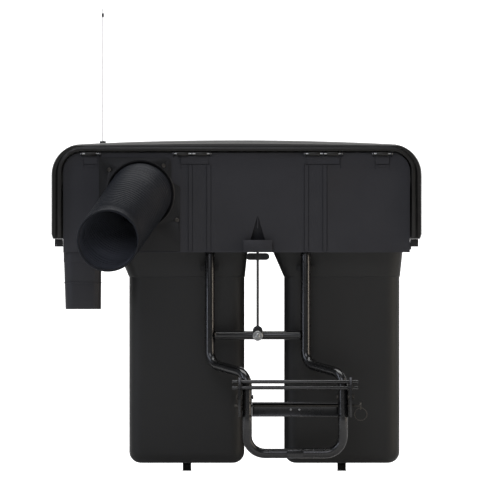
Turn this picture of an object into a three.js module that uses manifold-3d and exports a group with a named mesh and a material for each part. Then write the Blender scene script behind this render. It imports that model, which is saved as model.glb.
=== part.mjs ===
// Twin-bin grass collector that hangs on the rear of a riding mower.
// A bent tube frame carries a moulded front panel with the inlet hose and the exhaust duct, a hinged hood,
// and two lift-out bins. Millimetres, +Z up, +X to the right of someone standing at the mower and looking
// back at the collector, +Y away from the mower. The origin is on the front face of the hitch channel.

import * as THREE from 'three';
import { mergeVertices } from 'three/addons/utils/BufferGeometryUtils.js';
import Module from 'manifold-3d';

const wasm = await Module();
wasm.setup();

// ---------------------------------------------------------------- driving dimensions, mm

const fit = 0.3;                 // gap between pieces that rest on each other
const play = 0.5;                // radial clearance of a bolt or pin in its hole

// Frame: two uprights that step sideways and forward to the hitch legs
const tubeRadius = 12.7;
const tubeWall = 2;
const tubeBend = 40;
const legSpan = 249.5;           // between the tube centres
const legY = -6;
const uprightShift = -97;        // the uprights stand this far to one side of the legs
const uprightSetback = 110;      // and this far behind them
const upperBendZ = 118;
const lowerBendZ = 91;
const frameTopDrop = 66;         // from the panel's top down to the uprights' ends
const legEndZ = -20;
const footDrop = 96;             // from the legs' ends down to the foot loop's bar
const footLean = 20;             // the foot loop leans back by this much
const footBend = 47;
const footKneeDrop = 24;         // from the legs' ends down to where the loop starts to lean
const footPadWidth = 44;
const footPadHeight = 18;
const footPadThickness = 3;
const crossTubeZ = 191;
const crossTubeRadius = 11;

// Hitch: side plates, channel, tie rods and the pull pin
const plateThickness = 6;
const plateGap = 4;              // between a leg and its side plate
const plateFront = -44;
const plateRear = 30;
const plateTop = 82;
const plateFoot = -21;
const channelTop = 18;
const channelBottom = -20;
const channelWall = 4;
const channelFlange = 22;
const tieRodRadius = 5;
const tieRodZs = [71, 55.5];
const tieRodReach = 16;          // past each side plate
const tieRodClear = 2;           // from the legs
const pinRadius = 3.2;
const pinZ = 8.5;
const pinTail = 10;              // the pin's end past the left plate
const legBoltRadius = 4;
const legBoltZ = 31;
const legBoltTail = 4;           // the bolt's end inside the leg
const nutRadius = 7;
const nutThickness = 6;
const innerNutRadius = 6;
const headRadius = 10;
const headThickness = 4;
const pinReach = 25;             // from the right plate to the pin's head
const ringRadius = 16;
const ringWire = 1.6;

// Bins
const binWidth = 292;
const binDepth = 400;
const binGap = 112;
const binsCentreX = -79.5;
const binFloorZ = -138;
const binTopZ = 440;
const shoulderDrop = 95;         // from the rim down to where the walls start to lean out
const binCorner = 34;
const binFoot = 26;              // radius round the floor
const binWall = 4;
const flareLeft = 42;            // how far the shoulder leans out to the rim, on each side
const flareRight = 11;
const lipWidth = 15;             // at the front and the rear
const lipSideWidth = 3;
const lipThickness = 4;
const gripWidth = 22;
const gripLength = 150;
const gripDrop = 25;
const gripBar = 8;
const gripTopBar = 3;

// Carrier: the rails that hold the bins and the hood
const railSize = 20;
const railWall = 2;
const railDrop = 6;              // from the bins' rims down to the rails
const railGap = 3;               // between the bins and the rails in front and behind
const sideRailWidth = 18;
const ductBay = 137.5;           // between the left bin's rim and the left side rail
const binSideClear = 23.5;       // between the right bin's rim and the right side rail
const stopWidth = 48;
const stopHeight = 14;
const stopThickness = 3;
const stopRise = 20;             // above the bins' shoulders
const stopClear = 1;             // from the bins
const buttonRadius = 6;
const buttonSpread = 36;

// Hood
const hoodHeight = 257;
const hoodLift = 8;              // from the rails up to the hood's skirt
const hoodLip = 9;               // from a side rail out to the hood's face
const hoodOverhang = 77;         // past the rear rail
const hoodCorner = 80;
const hoodRearCorner = 90;
const hoodCrown = 10;
const hoodWall = 4;
const hoodShoulder = 18;         // radius along the hood's front edge
const rimGroove = 17;            // from the hood's face to the inner rim
const rimWidth = 9;
const rimDepth = 12;
const rimWeb = 3;
const rimHeight = 14;            // of the inner rim's top bar, up to the hood's straight front edge
const edgeDrop = 14;             // from the crest of the hood down to its straight front edge
const edgeTuck = 3;              // how far the front edge draws in at the sides
const hoodSlope = 0.14;          // share of its height that the top loses at the rear
const hoodNose = 18;             // from the front panel forward to the hood's edge
const handleRise = 77;           // above the skirt
const handleWidth = 190;
const handleBend = 20;
const handleReach = 42;
const handleRadius = 8;

// Front panel and what is fixed on it
const panelY = 80;
const panelWall = 3;
const panelSkirt = 35;           // below the hood's skirt
const panelClear = 5;            // from the hood's inner rim
const hingeY = 70;
const hingePinRadius = 2.5;
const knuckleRadius = 6.5;
const knuckleWidth = 30;
const leafThickness = 3;
const earWidth = 3;
const earRadius = 5;
const earFoot = 9;               // from the hinge's axis down to the foot of an ear
const earGap = 7.5;              // between a knuckle and the next ear
const mainHingeOffset = 171;     // from the uprights' middle
const sideHingeInset = 102.5;    // from the hood's side

// Inlet hose and its adapter
const inletBay = 115;            // from the panel's left edge to the inlet's opening
const hoseBore = 75;
const hoseWall = 6.5;
const hoseDrop = [-82, -119];    // sideways and downwards shift from the inlet to the mouth
const hoseMouthY = -165;
const hoseCuff = 30;             // the straight length at the mouth
const hoseClear = 3.5;           // between the hose and the opening round it
const adapterThickness = 3;
const adapterTopMargin = 12;     // above the opening
const adapterLeftMargin = 22;
const adapterStepMargin = 19;
const adapterNeck = 3;           // beside the opening, above the step
const adapterStepRise = 34;      // from the inlet's axis up to the step
const adapterStepDrop = 14;
const adapterCorner = 16;
const adapterFoot = 3;           // above the panel's lower edge
const collarWall = 3;
const collarDepth = 27;
const collarFlange = 20;
const collarSpigot = 23;         // the spigot's length in front of the panel
const screwRadius = 3;
const screwHead = 6;

// Exhaust duct
const ductWidth = 100;
const ductDepth = 106;
const ductInletDrop = 77;        // from the inlet's axis down to the duct's top
const ductJointZ = 330;
const ductBottomZ = 259;
const ductWall = 3;
const ductCorner = 26;

// Latch
const latchRodRadius = 3.3;
const latchY = 70;
const latchTravel = 15;
const latchGripWidth = 61;
const latchGripHeight = 18;
const latchGripDepth = 16;
const latchGripDrop = 2;         // from the panel's lower edge to the grip
const keeperWidth = 75;
const keeperDepth = 22;
const keeperHeight = 32;
const keeperWall = 3;
const bossRadius = 13;
const bossNose = 11;             // in front of the latch rod
const bossRise = 12;             // above the cross tube
const bossBoltDrop = 1.5;        // below the cross tube's middle
const bossBoltRadius = 4;
const bossBoltHead = 7;
const washerThickness = 1.5;
const springRadius = 6.5;
const springWire = 0.8;
const springTurns = 6;

// Marker wire
const wireFromEdge = 133.5;      // from the hood's left side
const wireY = 210;
const wireRise = 344;            // above the hood
const wireRadius = 1.2;
const wireTail = 16;             // inside the hood
const grommetRadius = 8;
const grommetHalf = 10;
const beadDrop = 18;             // from the wire's top

// ---------------------------------------------------------------- places that follow from them

const binShoulderZ = binTopZ - shoulderDrop;
const railTopZ = binTopZ - railDrop;
const hoodSkirtZ = railTopZ + hoodLift;
const hoodEdgeZ = hoodSkirtZ + hoodHeight - edgeDrop;
const rimBottomZ = hoodEdgeZ - rimHeight;
const panelTopZ = rimBottomZ - panelClear;
const panelBottomZ = hoodSkirtZ - panelSkirt;
const hingeZ = rimBottomZ - knuckleRadius - play;
const frameTopZ = panelTopZ - frameTopDrop;

const uprightY = legY + uprightSetback;
const legXs = { left: -legSpan / 2, right: legSpan / 2 };
const uprightXs = { left: uprightShift + legXs.left, right: uprightShift + legXs.right };
const binXs = {
  left: binsCentreX - binGap / 2 - binWidth / 2,
  right: binsCentreX + binGap / 2 + binWidth / 2,
};
const leftRailX = binXs.left - binWidth / 2 - flareLeft - ductBay - sideRailWidth / 2;
const rightRailX = binXs.right + binWidth / 2 + flareRight + binSideClear + sideRailWidth / 2;
const hoodLeft = leftRailX - sideRailWidth / 2 - hoodLip;
const hoodRight = rightRailX + sideRailWidth / 2 + hoodLip;
const hoodHalf = (hoodRight - hoodLeft) / 2;
const hoodX = (hoodLeft + hoodRight) / 2;
const hoodFrontY = panelY - hoodNose;
const panelHalf = hoodHalf - rimGroove - rimWidth - panelClear;
const panelLeft = hoodX - panelHalf;
const inletHole = hoseBore + hoseWall + hoseClear;
const inletX = panelLeft + inletBay + inletHole;
const adapterTopZ = hingeZ - earFoot - 1;
const inletZ = adapterTopZ - adapterTopMargin - inletHole;
const ledgeY = uprightY + tubeRadius + fit;
const binFrontY = ledgeY + railSize + railGap + flareRight;
const binY = binFrontY + binDepth / 2;
const rearRailY = binFrontY + binDepth + flareRight + railGap;
const hoodDepth = rearRailY + railSize + hoodOverhang - hoodFrontY;
const ductX = panelLeft + ductWidth / 2;
const ductTopZ = inletZ - ductInletDrop;
const latchX = uprightShift;
const bossZ = crossTubeZ + bossRise;
const bossBoltZ = crossTubeZ - bossBoltDrop;

// ---------------------------------------------------------------- materials

const finish = (color, roughness, metalness = 0) =>
  new THREE.MeshStandardMaterial({ color, roughness, metalness });

const paint = () => finish(0x101010, 0.25, 0.1);
const zinc = () => finish(0xb8babd, 0.35, 0.9);
const hoodPlastic = () => finish(0x242424, 0.45);
const panelPlastic = () => finish(0x2f3032, 0.6);
const binPlastic = () => finish(0x282827, 0.55);
const hoseRubber = () => finish(0x25272b, 0.5);
const gripRubber = () => finish(0x161616, 0.7);

// ---------------------------------------------------------------- shaping helpers

// A closed geometry as a solid that can be cut and joined
function solid(geometry) {
  const bare = geometry.index ? geometry.toNonIndexed() : geometry.clone();
  bare.deleteAttribute('normal');
  bare.deleteAttribute('uv');
  const merged = mergeVertices(bare, 1e-3);
  return new wasm.Manifold(new wasm.Mesh({
    numProp: 3,
    vertProperties: merged.attributes.position.array,
    triVerts: new Uint32Array(merged.index.array),
  }));
}

// A solid back as a geometry
function geometryOf(body) {
  const mesh = body.getMesh();
  const geometry = new THREE.BufferGeometry();
  geometry.setAttribute('position', new THREE.BufferAttribute(new Float32Array(mesh.vertProperties), 3));
  geometry.setIndex(new THREE.BufferAttribute(new Uint32Array(mesh.triVerts), 1));
  geometry.computeVertexNormals();
  return geometry;
}

const join = (...bodies) => bodies.reduce((whole, body) => whole.add(body));
const cut = (body, ...tools) => tools.reduce((rest, tool) => rest.subtract(tool), body);

function rectangle(x0, y0, x1, y1) {
  const shape = new THREE.Shape();
  shape.moveTo(x0, y0);
  shape.lineTo(x1, y0);
  shape.lineTo(x1, y1);
  shape.lineTo(x0, y1);
  return shape;
}

function roundedRectangle(x0, y0, x1, y1, radius) {
  const r = Math.min(radius, (x1 - x0) / 2 - 0.01, (y1 - y0) / 2 - 0.01);
  const shape = new THREE.Shape();
  shape.moveTo(x0 + r, y0);
  shape.lineTo(x1 - r, y0);
  shape.absarc(x1 - r, y0 + r, r, -Math.PI / 2, 0, false);
  shape.lineTo(x1, y1 - r);
  shape.absarc(x1 - r, y1 - r, r, 0, Math.PI / 2, false);
  shape.lineTo(x0 + r, y1);
  shape.absarc(x0 + r, y1 - r, r, Math.PI / 2, Math.PI, false);
  shape.lineTo(x0, y0 + r);
  shape.absarc(x0 + r, y0 + r, r, Math.PI, Math.PI * 1.5, false);
  return shape;
}

function circle(x, y, radius) {
  const shape = new THREE.Shape();
  shape.absarc(x, y, radius, 0, Math.PI * 2, false);
  return shape;
}

function extrude(shape, depth, curveSegments = 4) {
  return new THREE.ExtrudeGeometry(shape, { depth, bevelEnabled: false, curveSegments });
}

// Outlines drawn in X and Y and raised along Z, in X and Z and raised along Y, in Y and Z and raised along X
const alongZ = (shape, z0, z1, segments) => solid(extrude(shape, z1 - z0, segments).translate(0, 0, z0));
const alongY = (shape, y0, y1, segments) =>
  solid(extrude(shape, y1 - y0, segments).rotateX(Math.PI / 2).translate(0, y1, 0));
const turnToX = new THREE.Matrix4().set(0, 0, 1, 0, 1, 0, 0, 0, 0, 1, 0, 0, 0, 0, 0, 1);
const alongX = (shape, x0, x1, segments) =>
  solid(extrude(shape, x1 - x0, segments).applyMatrix4(turnToX).translate(x0, 0, 0));

const block = (x0, y0, z0, x1, y1, z1) => alongZ(rectangle(x0, y0, x1, y1), z0, z1);

// A line of points through corners, with an arc of the given radius at each inner corner
function bentLine(corners, radius, stepAngle = Math.PI / 10) {
  const points = [corners[0].clone()];
  for (let i = 1; i < corners.length - 1; i++) {
    const back = corners[i - 1].clone().sub(corners[i]);
    const ahead = corners[i + 1].clone().sub(corners[i]);
    const room = Math.min(back.length(), ahead.length()) * 0.49;
    back.normalize();
    ahead.normalize();
    const half = back.angleTo(ahead) / 2;
    const bend = Math.min(radius, room * Math.tan(half));
    const middle = back.clone().add(ahead).normalize().multiplyScalar(bend / Math.sin(half)).add(corners[i]);
    const from = back.clone().multiplyScalar(bend / Math.tan(half)).add(corners[i]).sub(middle);
    const to = ahead.clone().multiplyScalar(bend / Math.tan(half)).add(corners[i]).sub(middle);
    const turn = from.angleTo(to);
    const steps = Math.ceil(turn / stepAngle);
    for (let k = 0; k <= steps; k++) {
      const t = k / steps;
      const a = Math.sin((1 - t) * turn) / Math.sin(turn);
      const b = Math.sin(t * turn) / Math.sin(turn);
      points.push(from.clone().multiplyScalar(a).addScaledVector(to, b).add(middle));
    }
  }
  points.push(corners[corners.length - 1].clone());
  return points;
}

// A path that steps from point to point, so that a straight run takes one step and a bend takes many
class PointPath extends THREE.Curve {
  constructor(points) {
    super();
    this.points = points;
  }

  getPoint(t) {
    const place = t * (this.points.length - 1);
    const index = Math.min(Math.floor(place), this.points.length - 2);
    return this.points[index].clone().lerp(this.points[index + 1], place - index);
  }

  getPointAt(u) {
    return this.getPoint(u);
  }

  getTangentAt(u) {
    const last = this.points.length - 1;
    const index = Math.round(u * last);
    const direction = new THREE.Vector3();
    if (index > 0) direction.add(this.points[index].clone().sub(this.points[index - 1]).normalize());
    if (index < last) direction.add(this.points[index + 1].clone().sub(this.points[index]).normalize());
    return direction.normalize();
  }
}

// A round tube or rod along a line of points; a wall of 0 makes it solid
function tube(points, radius, wall = 0, sides = 12) {
  const section = circle(0, 0, radius);
  if (wall > 0) section.holes.push(circle(0, 0, radius - wall));
  return solid(new THREE.ExtrudeGeometry(section, {
    steps: points.length - 1,
    extrudePath: new PointPath(points),
    curveSegments: sides / 2,
    bevelEnabled: false,
  }));
}

const at = (x, y, z) => new THREE.Vector3(x, y, z);
const rod = (from, to, radius, sides = 16) => tube([from, to], radius, 0, sides);

// A turned piece: profile points are radius and height along the axis, which is Z, Y or X
function turned(profile, axis, segments = 24) {
  const geometry = new THREE.LatheGeometry(profile.map(([r, h]) => new THREE.Vector2(r, h)), segments);
  if (axis === 'z') geometry.rotateX(Math.PI / 2);
  if (axis === 'x') geometry.rotateZ(-Math.PI / 2);
  return solid(geometry);
}

// An outline carried through a row of stations; place gives each point's position at its station
function loft(outline, stations, place, segments) {
  const steps = stations - 1;
  const geometry = new THREE.ExtrudeGeometry(outline, {
    depth: steps, steps, bevelEnabled: false, curveSegments: segments,
  });
  const position = geometry.attributes.position;
  for (let i = 0; i < position.count; i++) {
    const [x, y, z] = place(position.getX(i), position.getY(i), Math.round(position.getZ(i)));
    position.setXYZ(i, x, y, z);
  }
  return solid(geometry);
}

const collector = new THREE.Group();

function add(group, name, body, material) {
  const mesh = new THREE.Mesh(geometryOf(body), material);
  mesh.name = name;
  group.add(mesh);
}

// ---------------------------------------------------------------- tube frame

const frame = new THREE.Group();
collector.add(frame);

const legHole = (z, radius) => rod(at(-legSpan, legY, z), at(legSpan, legY, z), radius + play, 8);

for (const side of ['left', 'right']) {
  const line = bentLine([
    at(legXs[side], legY, legEndZ + fit),
    at(legXs[side], legY, lowerBendZ),
    at(uprightXs[side], uprightY, upperBendZ),
    at(uprightXs[side], uprightY, frameTopZ),
  ], tubeBend);
  const holes = [legHole(pinZ, pinRadius), legHole(legBoltZ, legBoltRadius)];
  const body = cut(tube(line, tubeRadius, tubeWall), ...holes);
  add(frame, side + '_frame_tube', body, paint());
}

const footZ = legEndZ - footDrop;
const footY = legY + footLean;
const footKneeZ = legEndZ - footKneeDrop;
add(frame, 'foot_loop', tube(bentLine([
  at(legXs.left, legY, legEndZ),
  at(legXs.left, legY, footKneeZ),
  at(legXs.left, footY, footZ),
  at(legXs.right, footY, footZ),
  at(legXs.right, legY, footKneeZ),
  at(legXs.right, legY, legEndZ),
], footBend), tubeRadius, tubeWall), paint());

const padY = footY - tubeRadius - fit;
const padHalf = footPadWidth / 2;
const padRise = footPadHeight / 2;
const padOutline = roundedRectangle(-padHalf, footZ - padRise, padHalf, footZ + padRise, padRise - 1);
add(frame, 'foot_pad', alongY(padOutline, padY - footPadThickness, padY, 3), paint());

const crossHalf = legSpan / 2 - tubeRadius - fit;
const bossBolt = (radius) =>
  rod(at(latchX, latchY - 40, bossBoltZ), at(latchX, uprightY + 40, bossBoltZ), radius);
add(frame, 'cross_tube', cut(
  tube(
    [-1, 1].map((way) => at(uprightShift + way * crossHalf, uprightY, crossTubeZ)),
    crossTubeRadius,
    tubeWall,
  ),
  bossBolt(bossBoltRadius + play),
), paint());

// ---------------------------------------------------------------- hitch

const hitch = new THREE.Group();
collector.add(hitch);

const channelHalf = legSpan / 2 - tubeRadius - fit;
add(hitch, 'hitch_channel', join(
  block(-channelHalf, 0, channelBottom, channelHalf, channelWall, channelTop),
  block(-channelHalf, -channelFlange, channelTop - channelWall, channelHalf, channelWall, channelTop),
  block(-channelHalf, -channelFlange, channelBottom, channelHalf, channelWall, channelBottom + channelWall),
), paint());

const tieRodY = legY - tubeRadius - tieRodRadius - tieRodClear;
const plateInner = legSpan / 2 + tubeRadius + plateGap;
const plateOuter = plateInner + plateThickness;

function sidePlateOutline() {
  const shape = new THREE.Shape();
  shape.moveTo(plateFront + 14, plateFoot);
  shape.lineTo(plateRear, plateFoot);
  shape.lineTo(plateRear, legBoltZ + 8);
  shape.lineTo(legY, legBoltZ + 18);
  shape.lineTo(tieRodY + tieRodRadius + 7, plateTop);
  shape.lineTo(plateFront, plateTop);
  shape.lineTo(plateFront, plateFoot + 18);
  for (const z of tieRodZs) shape.holes.push(circle(tieRodY, z, tieRodRadius + play));
  shape.holes.push(circle(legY, legBoltZ, legBoltRadius + play));
  shape.holes.push(circle(legY, pinZ, pinRadius + play));
  return shape;
}
add(hitch, 'left_hitch_plate', alongX(sidePlateOutline(), -plateOuter, -plateInner, 6), paint());
add(hitch, 'right_hitch_plate', alongX(sidePlateOutline(), plateInner, plateOuter, 6), paint());

// Tie rods with a flat head pressed on each end
const rodEnd = plateOuter + tieRodReach;
tieRodZs.forEach((z, i) => {
  const half = [[0, -rodEnd], [tieRodRadius - 1, -rodEnd], [tieRodRadius, 1 - rodEnd]];
  const profile = [...half, ...half.map(([r, x]) => [r, -x]).reverse()];
  const body = turned(profile, 'x', 16).translate([0, tieRodY, z]);
  add(hitch, ['upper', 'lower'][i] + '_tie_rod', body, paint());
});

// Bolts through each side plate and its leg, with a nut outside and a thin one on the leg's inner side
const legInner = legSpan / 2 - tubeRadius;
for (const side of ['left', 'right']) {
  const out = side === 'left' ? -1 : 1;
  const length = (x0, x1, radius, sides) =>
    rod(at(out * x0, legY, legBoltZ), at(out * x1, legY, legBoltZ), radius, sides);
  add(hitch, side + '_leg_bolt', join(
    length(legInner - legBoltTail + 1, plateOuter + 1, legBoltRadius),
    length(plateOuter + fit, plateOuter + nutThickness, nutRadius, 6),
    length(legInner - legBoltTail, legInner - play, innerNutRadius, 6),
  ), zinc());
}

// Pull pin through both plates and both legs, with a flat head that holds the ring
const headX = plateOuter + pinReach;
const ringHoleZ = pinZ - headRadius * 0.6;
add(hitch, 'hitch_pin', cut(
  join(
    rod(at(-plateOuter - pinTail, legY, pinZ), at(headX, legY, pinZ), pinRadius),
    rod(at(headX - headThickness, legY, pinZ), at(headX, legY, pinZ), headRadius, 24),
  ),
  rod(at(headX - 10, legY, ringHoleZ), at(headX + 10, legY, ringHoleZ), ringWire + 1.2, 12),
), zinc());

const ring = new THREE.TorusGeometry(ringRadius, ringWire, 6, 24);
ring.rotateX(Math.PI / 2);
ring.translate(headX - headThickness / 2, legY, ringHoleZ - ringRadius);
add(hitch, 'pin_ring', solid(ring), zinc());

// ---------------------------------------------------------------- carrier rails

const carrier = new THREE.Group();
collector.add(carrier);

function hollowRail(x0, y0, x1, y1, z0, z1, axis) {
  const w = railWall;
  const outer = block(x0, y0, z0, x1, y1, z1);
  const inner = axis === 'x'
    ? block(x0 - 1, y0 + w, z0 + w, x1 + 1, y1 - w, z1 - w)
    : block(x0 + w, y0 - 1, z0 + w, x1 - w, y1 + 1, z1 - w);
  return cut(outer, inner);
}

const leftRailInner = leftRailX + sideRailWidth / 2;
const rightRailInner = rightRailX - sideRailWidth / 2;
const ductRight = ductX + ductWidth / 2;
const sideRailTopZ = hoodSkirtZ - fit;
const sideRailFrontY = panelY + panelWall + fit;
const sideRailRearY = rearRailY + railSize;
const beamX = binsCentreX + (flareRight - flareLeft) / 2;

const rail = (name, x0, y0, x1, y1, topZ, axis) =>
  add(carrier, name, hollowRail(x0, y0, x1, y1, topZ - railSize, topZ, axis), paint());

rail('front_ledge', ductRight + railGap, ledgeY, rightRailInner - fit, ledgeY + railSize, railTopZ, 'x');
rail('rear_rail', leftRailInner + fit, rearRailY, rightRailInner - fit, sideRailRearY, railTopZ, 'x');
rail('centre_beam', beamX - railSize / 2, ledgeY + railSize + fit, beamX + railSize / 2, rearRailY - fit,
  railTopZ, 'y');
rail('left_side_rail', leftRailInner - sideRailWidth, sideRailFrontY, leftRailInner, sideRailRearY,
  sideRailTopZ, 'y');
rail('right_side_rail', rightRailInner, sideRailFrontY, rightRailInner + sideRailWidth, sideRailRearY,
  sideRailTopZ, 'y');

// Stops behind the uprights, with two rubber buttons each that the bins rest against
for (const side of ['left', 'right']) {
  const x = uprightXs[side];
  const z = binShoulderZ + stopRise;
  const strapY = ledgeY + stopThickness;
  const half = stopWidth / 2;
  const strap = block(x - half, ledgeY, z - stopHeight / 2, x + half, strapY, z + stopHeight / 2);
  const reach = binFrontY - flareRight - stopClear - strapY;
  const profile = [
    [0, -play],
    [buttonRadius, -play],
    [buttonRadius, reach - 2],
    [buttonRadius - 2, reach],
    [0, reach],
  ];
  const buttons = [-1, 1].map((way) =>
    turned(profile, 'y', 12).translate([x + way * buttonSpread / 2, strapY, z]));
  add(carrier, side + '_bin_stop', join(strap, ...buttons), gripRubber());
}

// ---------------------------------------------------------------- front panel

const front = new THREE.Group();
collector.add(front);

// An arch: straight sides, round shoulders and a top that may be crowned, about the hood's middle
function arch(half, top, corner, foot, crown = 0) {
  const r = Math.max(corner, 4);
  const shape = new THREE.Shape();
  shape.moveTo(-half, foot);
  shape.lineTo(-half, top - r);
  shape.absarc(-half + r, top - r, r, Math.PI, Math.PI / 2, true);
  if (crown > 0) shape.quadraticCurveTo(0, top + 2 * crown, half - r, top);
  else shape.lineTo(half - r, top);
  shape.absarc(half - r, top - r, r, Math.PI / 2, 0, true);
  shape.lineTo(half, foot);
  return shape;
}

// Hinge rows: where the middle of each row stands, and its number of knuckles
const hinges = [
  { name: 'left_main', x: uprightShift - mainHingeOffset, knuckles: 2 },
  { name: 'right_main', x: uprightShift + mainHingeOffset, knuckles: 2 },
  { name: 'left_side', x: hoodLeft + sideHingeInset, knuckles: 1 },
  { name: 'right_side', x: hoodRight - sideHingeInset, knuckles: 1 },
];
const knucklePitch = knuckleWidth + 2 * earGap + earWidth;
const hingeHalf = (hinge) => (hinge.knuckles * knucklePitch + earWidth) / 2;
const knuckleXs = (hinge) =>
  Array.from({ length: hinge.knuckles }, (_, i) => hinge.x + (i - (hinge.knuckles - 1) / 2) * knucklePitch);
const earXs = (hinge) =>
  Array.from({ length: hinge.knuckles + 1 }, (_, i) => hinge.x + (i - hinge.knuckles / 2) * knucklePitch);
const hingeBore = (hinge, extra) => rod(
  at(hinge.x - hingeHalf(hinge) - extra, hingeY, hingeZ),
  at(hinge.x + hingeHalf(hinge) + extra, hingeY, hingeZ),
  hingePinRadius + play,
  12,
);

function frontPanel() {
  const outline = arch(panelHalf, panelTopZ, hoodCorner - (hoodHalf - panelHalf), panelBottomZ);
  outline.holes.push(circle(inletX - hoodX, inletZ, inletHole));
  let body = alongY(outline, panelY, panelY + panelWall, 10).translate([hoodX, 0, 0]);
  for (const hinge of hinges) {
    for (const x of earXs(hinge)) {
      const ear = new THREE.Shape();
      ear.moveTo(panelY + 1, hingeZ - earFoot);
      ear.lineTo(panelY + 1, panelTopZ);
      ear.lineTo(hingeY, hingeZ + earRadius);
      ear.absarc(hingeY, hingeZ, earRadius, Math.PI / 2, Math.PI * 1.25, false);
      body = join(body, alongX(ear, x - earWidth / 2, x + earWidth / 2, 2));
    }
    body = cut(body, hingeBore(hinge, 1));
  }
  return body;
}
add(front, 'front_panel', frontPanel(), panelPlastic());

for (const hinge of hinges) {
  const half = hingeHalf(hinge) + 1;
  const pin = rod(at(hinge.x - half, hingeY, hingeZ), at(hinge.x + half, hingeY, hingeZ), hingePinRadius, 12);
  add(front, hinge.name + '_hinge_pin', pin, zinc());
}

// Adapter plate: a stepped plate with a round opening for the hose
const adapter = {
  left: inletX - inletHole - adapterLeftMargin,
  right: inletX + Math.sqrt(inletHole ** 2 - adapterStepRise ** 2) + adapterNeck,
  step: inletX + inletHole + adapterStepMargin,
  stepZ: inletZ + adapterStepRise,
  bottom: panelBottomZ + adapterFoot,
};
const adapterBackY = panelY - fit;
const adapterFrontY = adapterBackY - adapterThickness;
const screwPlaces = [
  { x: adapter.left + 27, z: adapterTopZ - 32 },
  { x: adapter.right - 20, z: adapterTopZ - 22 },
  { x: adapter.step - 8, z: inletZ - 66 },
];

function adapterOutline() {
  const shape = new THREE.Shape();
  const cornerX = adapter.right - adapterCorner;
  shape.moveTo(adapter.left, adapter.bottom);
  shape.lineTo(adapter.step, adapter.bottom);
  shape.lineTo(adapter.step, adapter.stepZ - adapterStepDrop);
  shape.lineTo(adapter.right, adapter.stepZ);
  shape.lineTo(adapter.right, adapterTopZ - adapterCorner);
  shape.absarc(cornerX, adapterTopZ - adapterCorner, adapterCorner, 0, Math.PI / 2, false);
  shape.lineTo(adapter.left, adapterTopZ);
  shape.holes.push(circle(inletX, inletZ, inletHole));
  for (const { x, z } of screwPlaces) shape.holes.push(circle(x, z, screwRadius + play));
  return shape;
}
add(front, 'adapter_plate', alongY(adapterOutline(), adapterFrontY, adapterBackY, 12), panelPlastic());

const screwProfile = [
  [0, -adapterThickness],
  [screwRadius, -adapterThickness],
  [screwRadius, fit],
  [screwHead, fit],
  [screwHead - 1, 3],
  [0, 3],
];
screwPlaces.forEach(({ x, z }, i) => {
  const body = turned(screwProfile, 'z', 12).rotate([90, 0, 0]).translate([x, adapterFrontY, z]);
  add(front, 'adapter_screw_' + (i + 1), body, zinc());
});

// Collar behind the panel: a flange, a cup and a spigot that the hose's end slides over
const spigot = hoseBore - 2;
const cup = inletHole + 1;
add(front, 'inlet_collar', turned([
  [spigot - collarWall, -collarSpigot],
  [spigot, -collarSpigot],
  [spigot, collarDepth - collarWall],
  [cup, collarDepth - collarWall],
  [cup, fit],
  [cup + collarFlange, fit],
  [cup + collarFlange, fit + collarWall],
  [cup + collarWall, fit + collarWall],
  [cup + collarWall, collarDepth],
  [spigot - collarWall, collarDepth],
  [spigot - collarWall, -collarSpigot],
], 'y', 28).translate([inletX, panelY + panelWall, inletZ]), panelPlastic());

// Inlet hose: straight at both ends, with an S between them that drops and moves to the left
function hoseLine() {
  const start = at(inletX, panelY + panelWall + collarDepth - collarWall - 3, inletZ);
  const end = at(inletX + hoseDrop[0], hoseMouthY, inletZ + hoseDrop[1]);
  const bendStart = start.clone().setY(panelY - 20);
  const bendEnd = end.clone().setY(hoseMouthY + hoseCuff);
  const reach = (bendStart.y - bendEnd.y) * 0.38;
  const curve = new THREE.CubicBezierCurve3(
    bendStart,
    bendStart.clone().setY(bendStart.y - reach),
    bendEnd.clone().setY(bendEnd.y + reach),
    bendEnd,
  );
  return [start, ...curve.getPoints(10), end];
}
add(front, 'inlet_hose', tube(hoseLine(), hoseBore + hoseWall, hoseWall, 20), hoseRubber());

// Exhaust duct and its lower sleeve, open at the top and the bottom
const ductFrontY = panelY + panelWall + 1;
function ductSection(inset) {
  const left = ductX - ductWidth / 2 + inset;
  const right = ductX + ductWidth / 2 - inset;
  const rear = ductFrontY + ductDepth - inset;
  return roundedRectangle(left, ductFrontY + inset, right, rear, ductCorner - inset);
}
const ductLength = (z0, z1) =>
  cut(alongZ(ductSection(0), z0, z1, 3), alongZ(ductSection(ductWall), z0 - 1, z1 + 1, 3));
add(front, 'exhaust_duct', ductLength(ductJointZ + fit, ductTopZ), panelPlastic());
add(front, 'duct_sleeve', ductLength(ductBottomZ, ductJointZ), panelPlastic());

// ---------------------------------------------------------------- latch

const latch = new THREE.Group();
collector.add(latch);

const keeperFrontY = panelY - keeperDepth;
const keeperBackY = panelY - fit;
const keeperTopZ = panelBottomZ + keeperHeight;
const keeperHalf = keeperWidth / 2;
const keeperInner = keeperHalf - keeperWall;
const latchBore = (z0, z1, clearance) =>
  rod(at(latchX, latchY, z0), at(latchX, latchY, z1), latchRodRadius + clearance);
add(latch, 'latch_keeper', cut(
  block(latchX - keeperHalf, keeperFrontY, panelBottomZ, latchX + keeperHalf, keeperBackY, keeperTopZ),
  block(latchX - keeperInner, keeperFrontY + keeperWall, panelBottomZ + keeperWall,
    latchX + keeperInner, keeperBackY + 1, keeperTopZ + 1),
  latchBore(panelBottomZ - 5, panelBottomZ + 10, play),
), panelPlastic());

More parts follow.
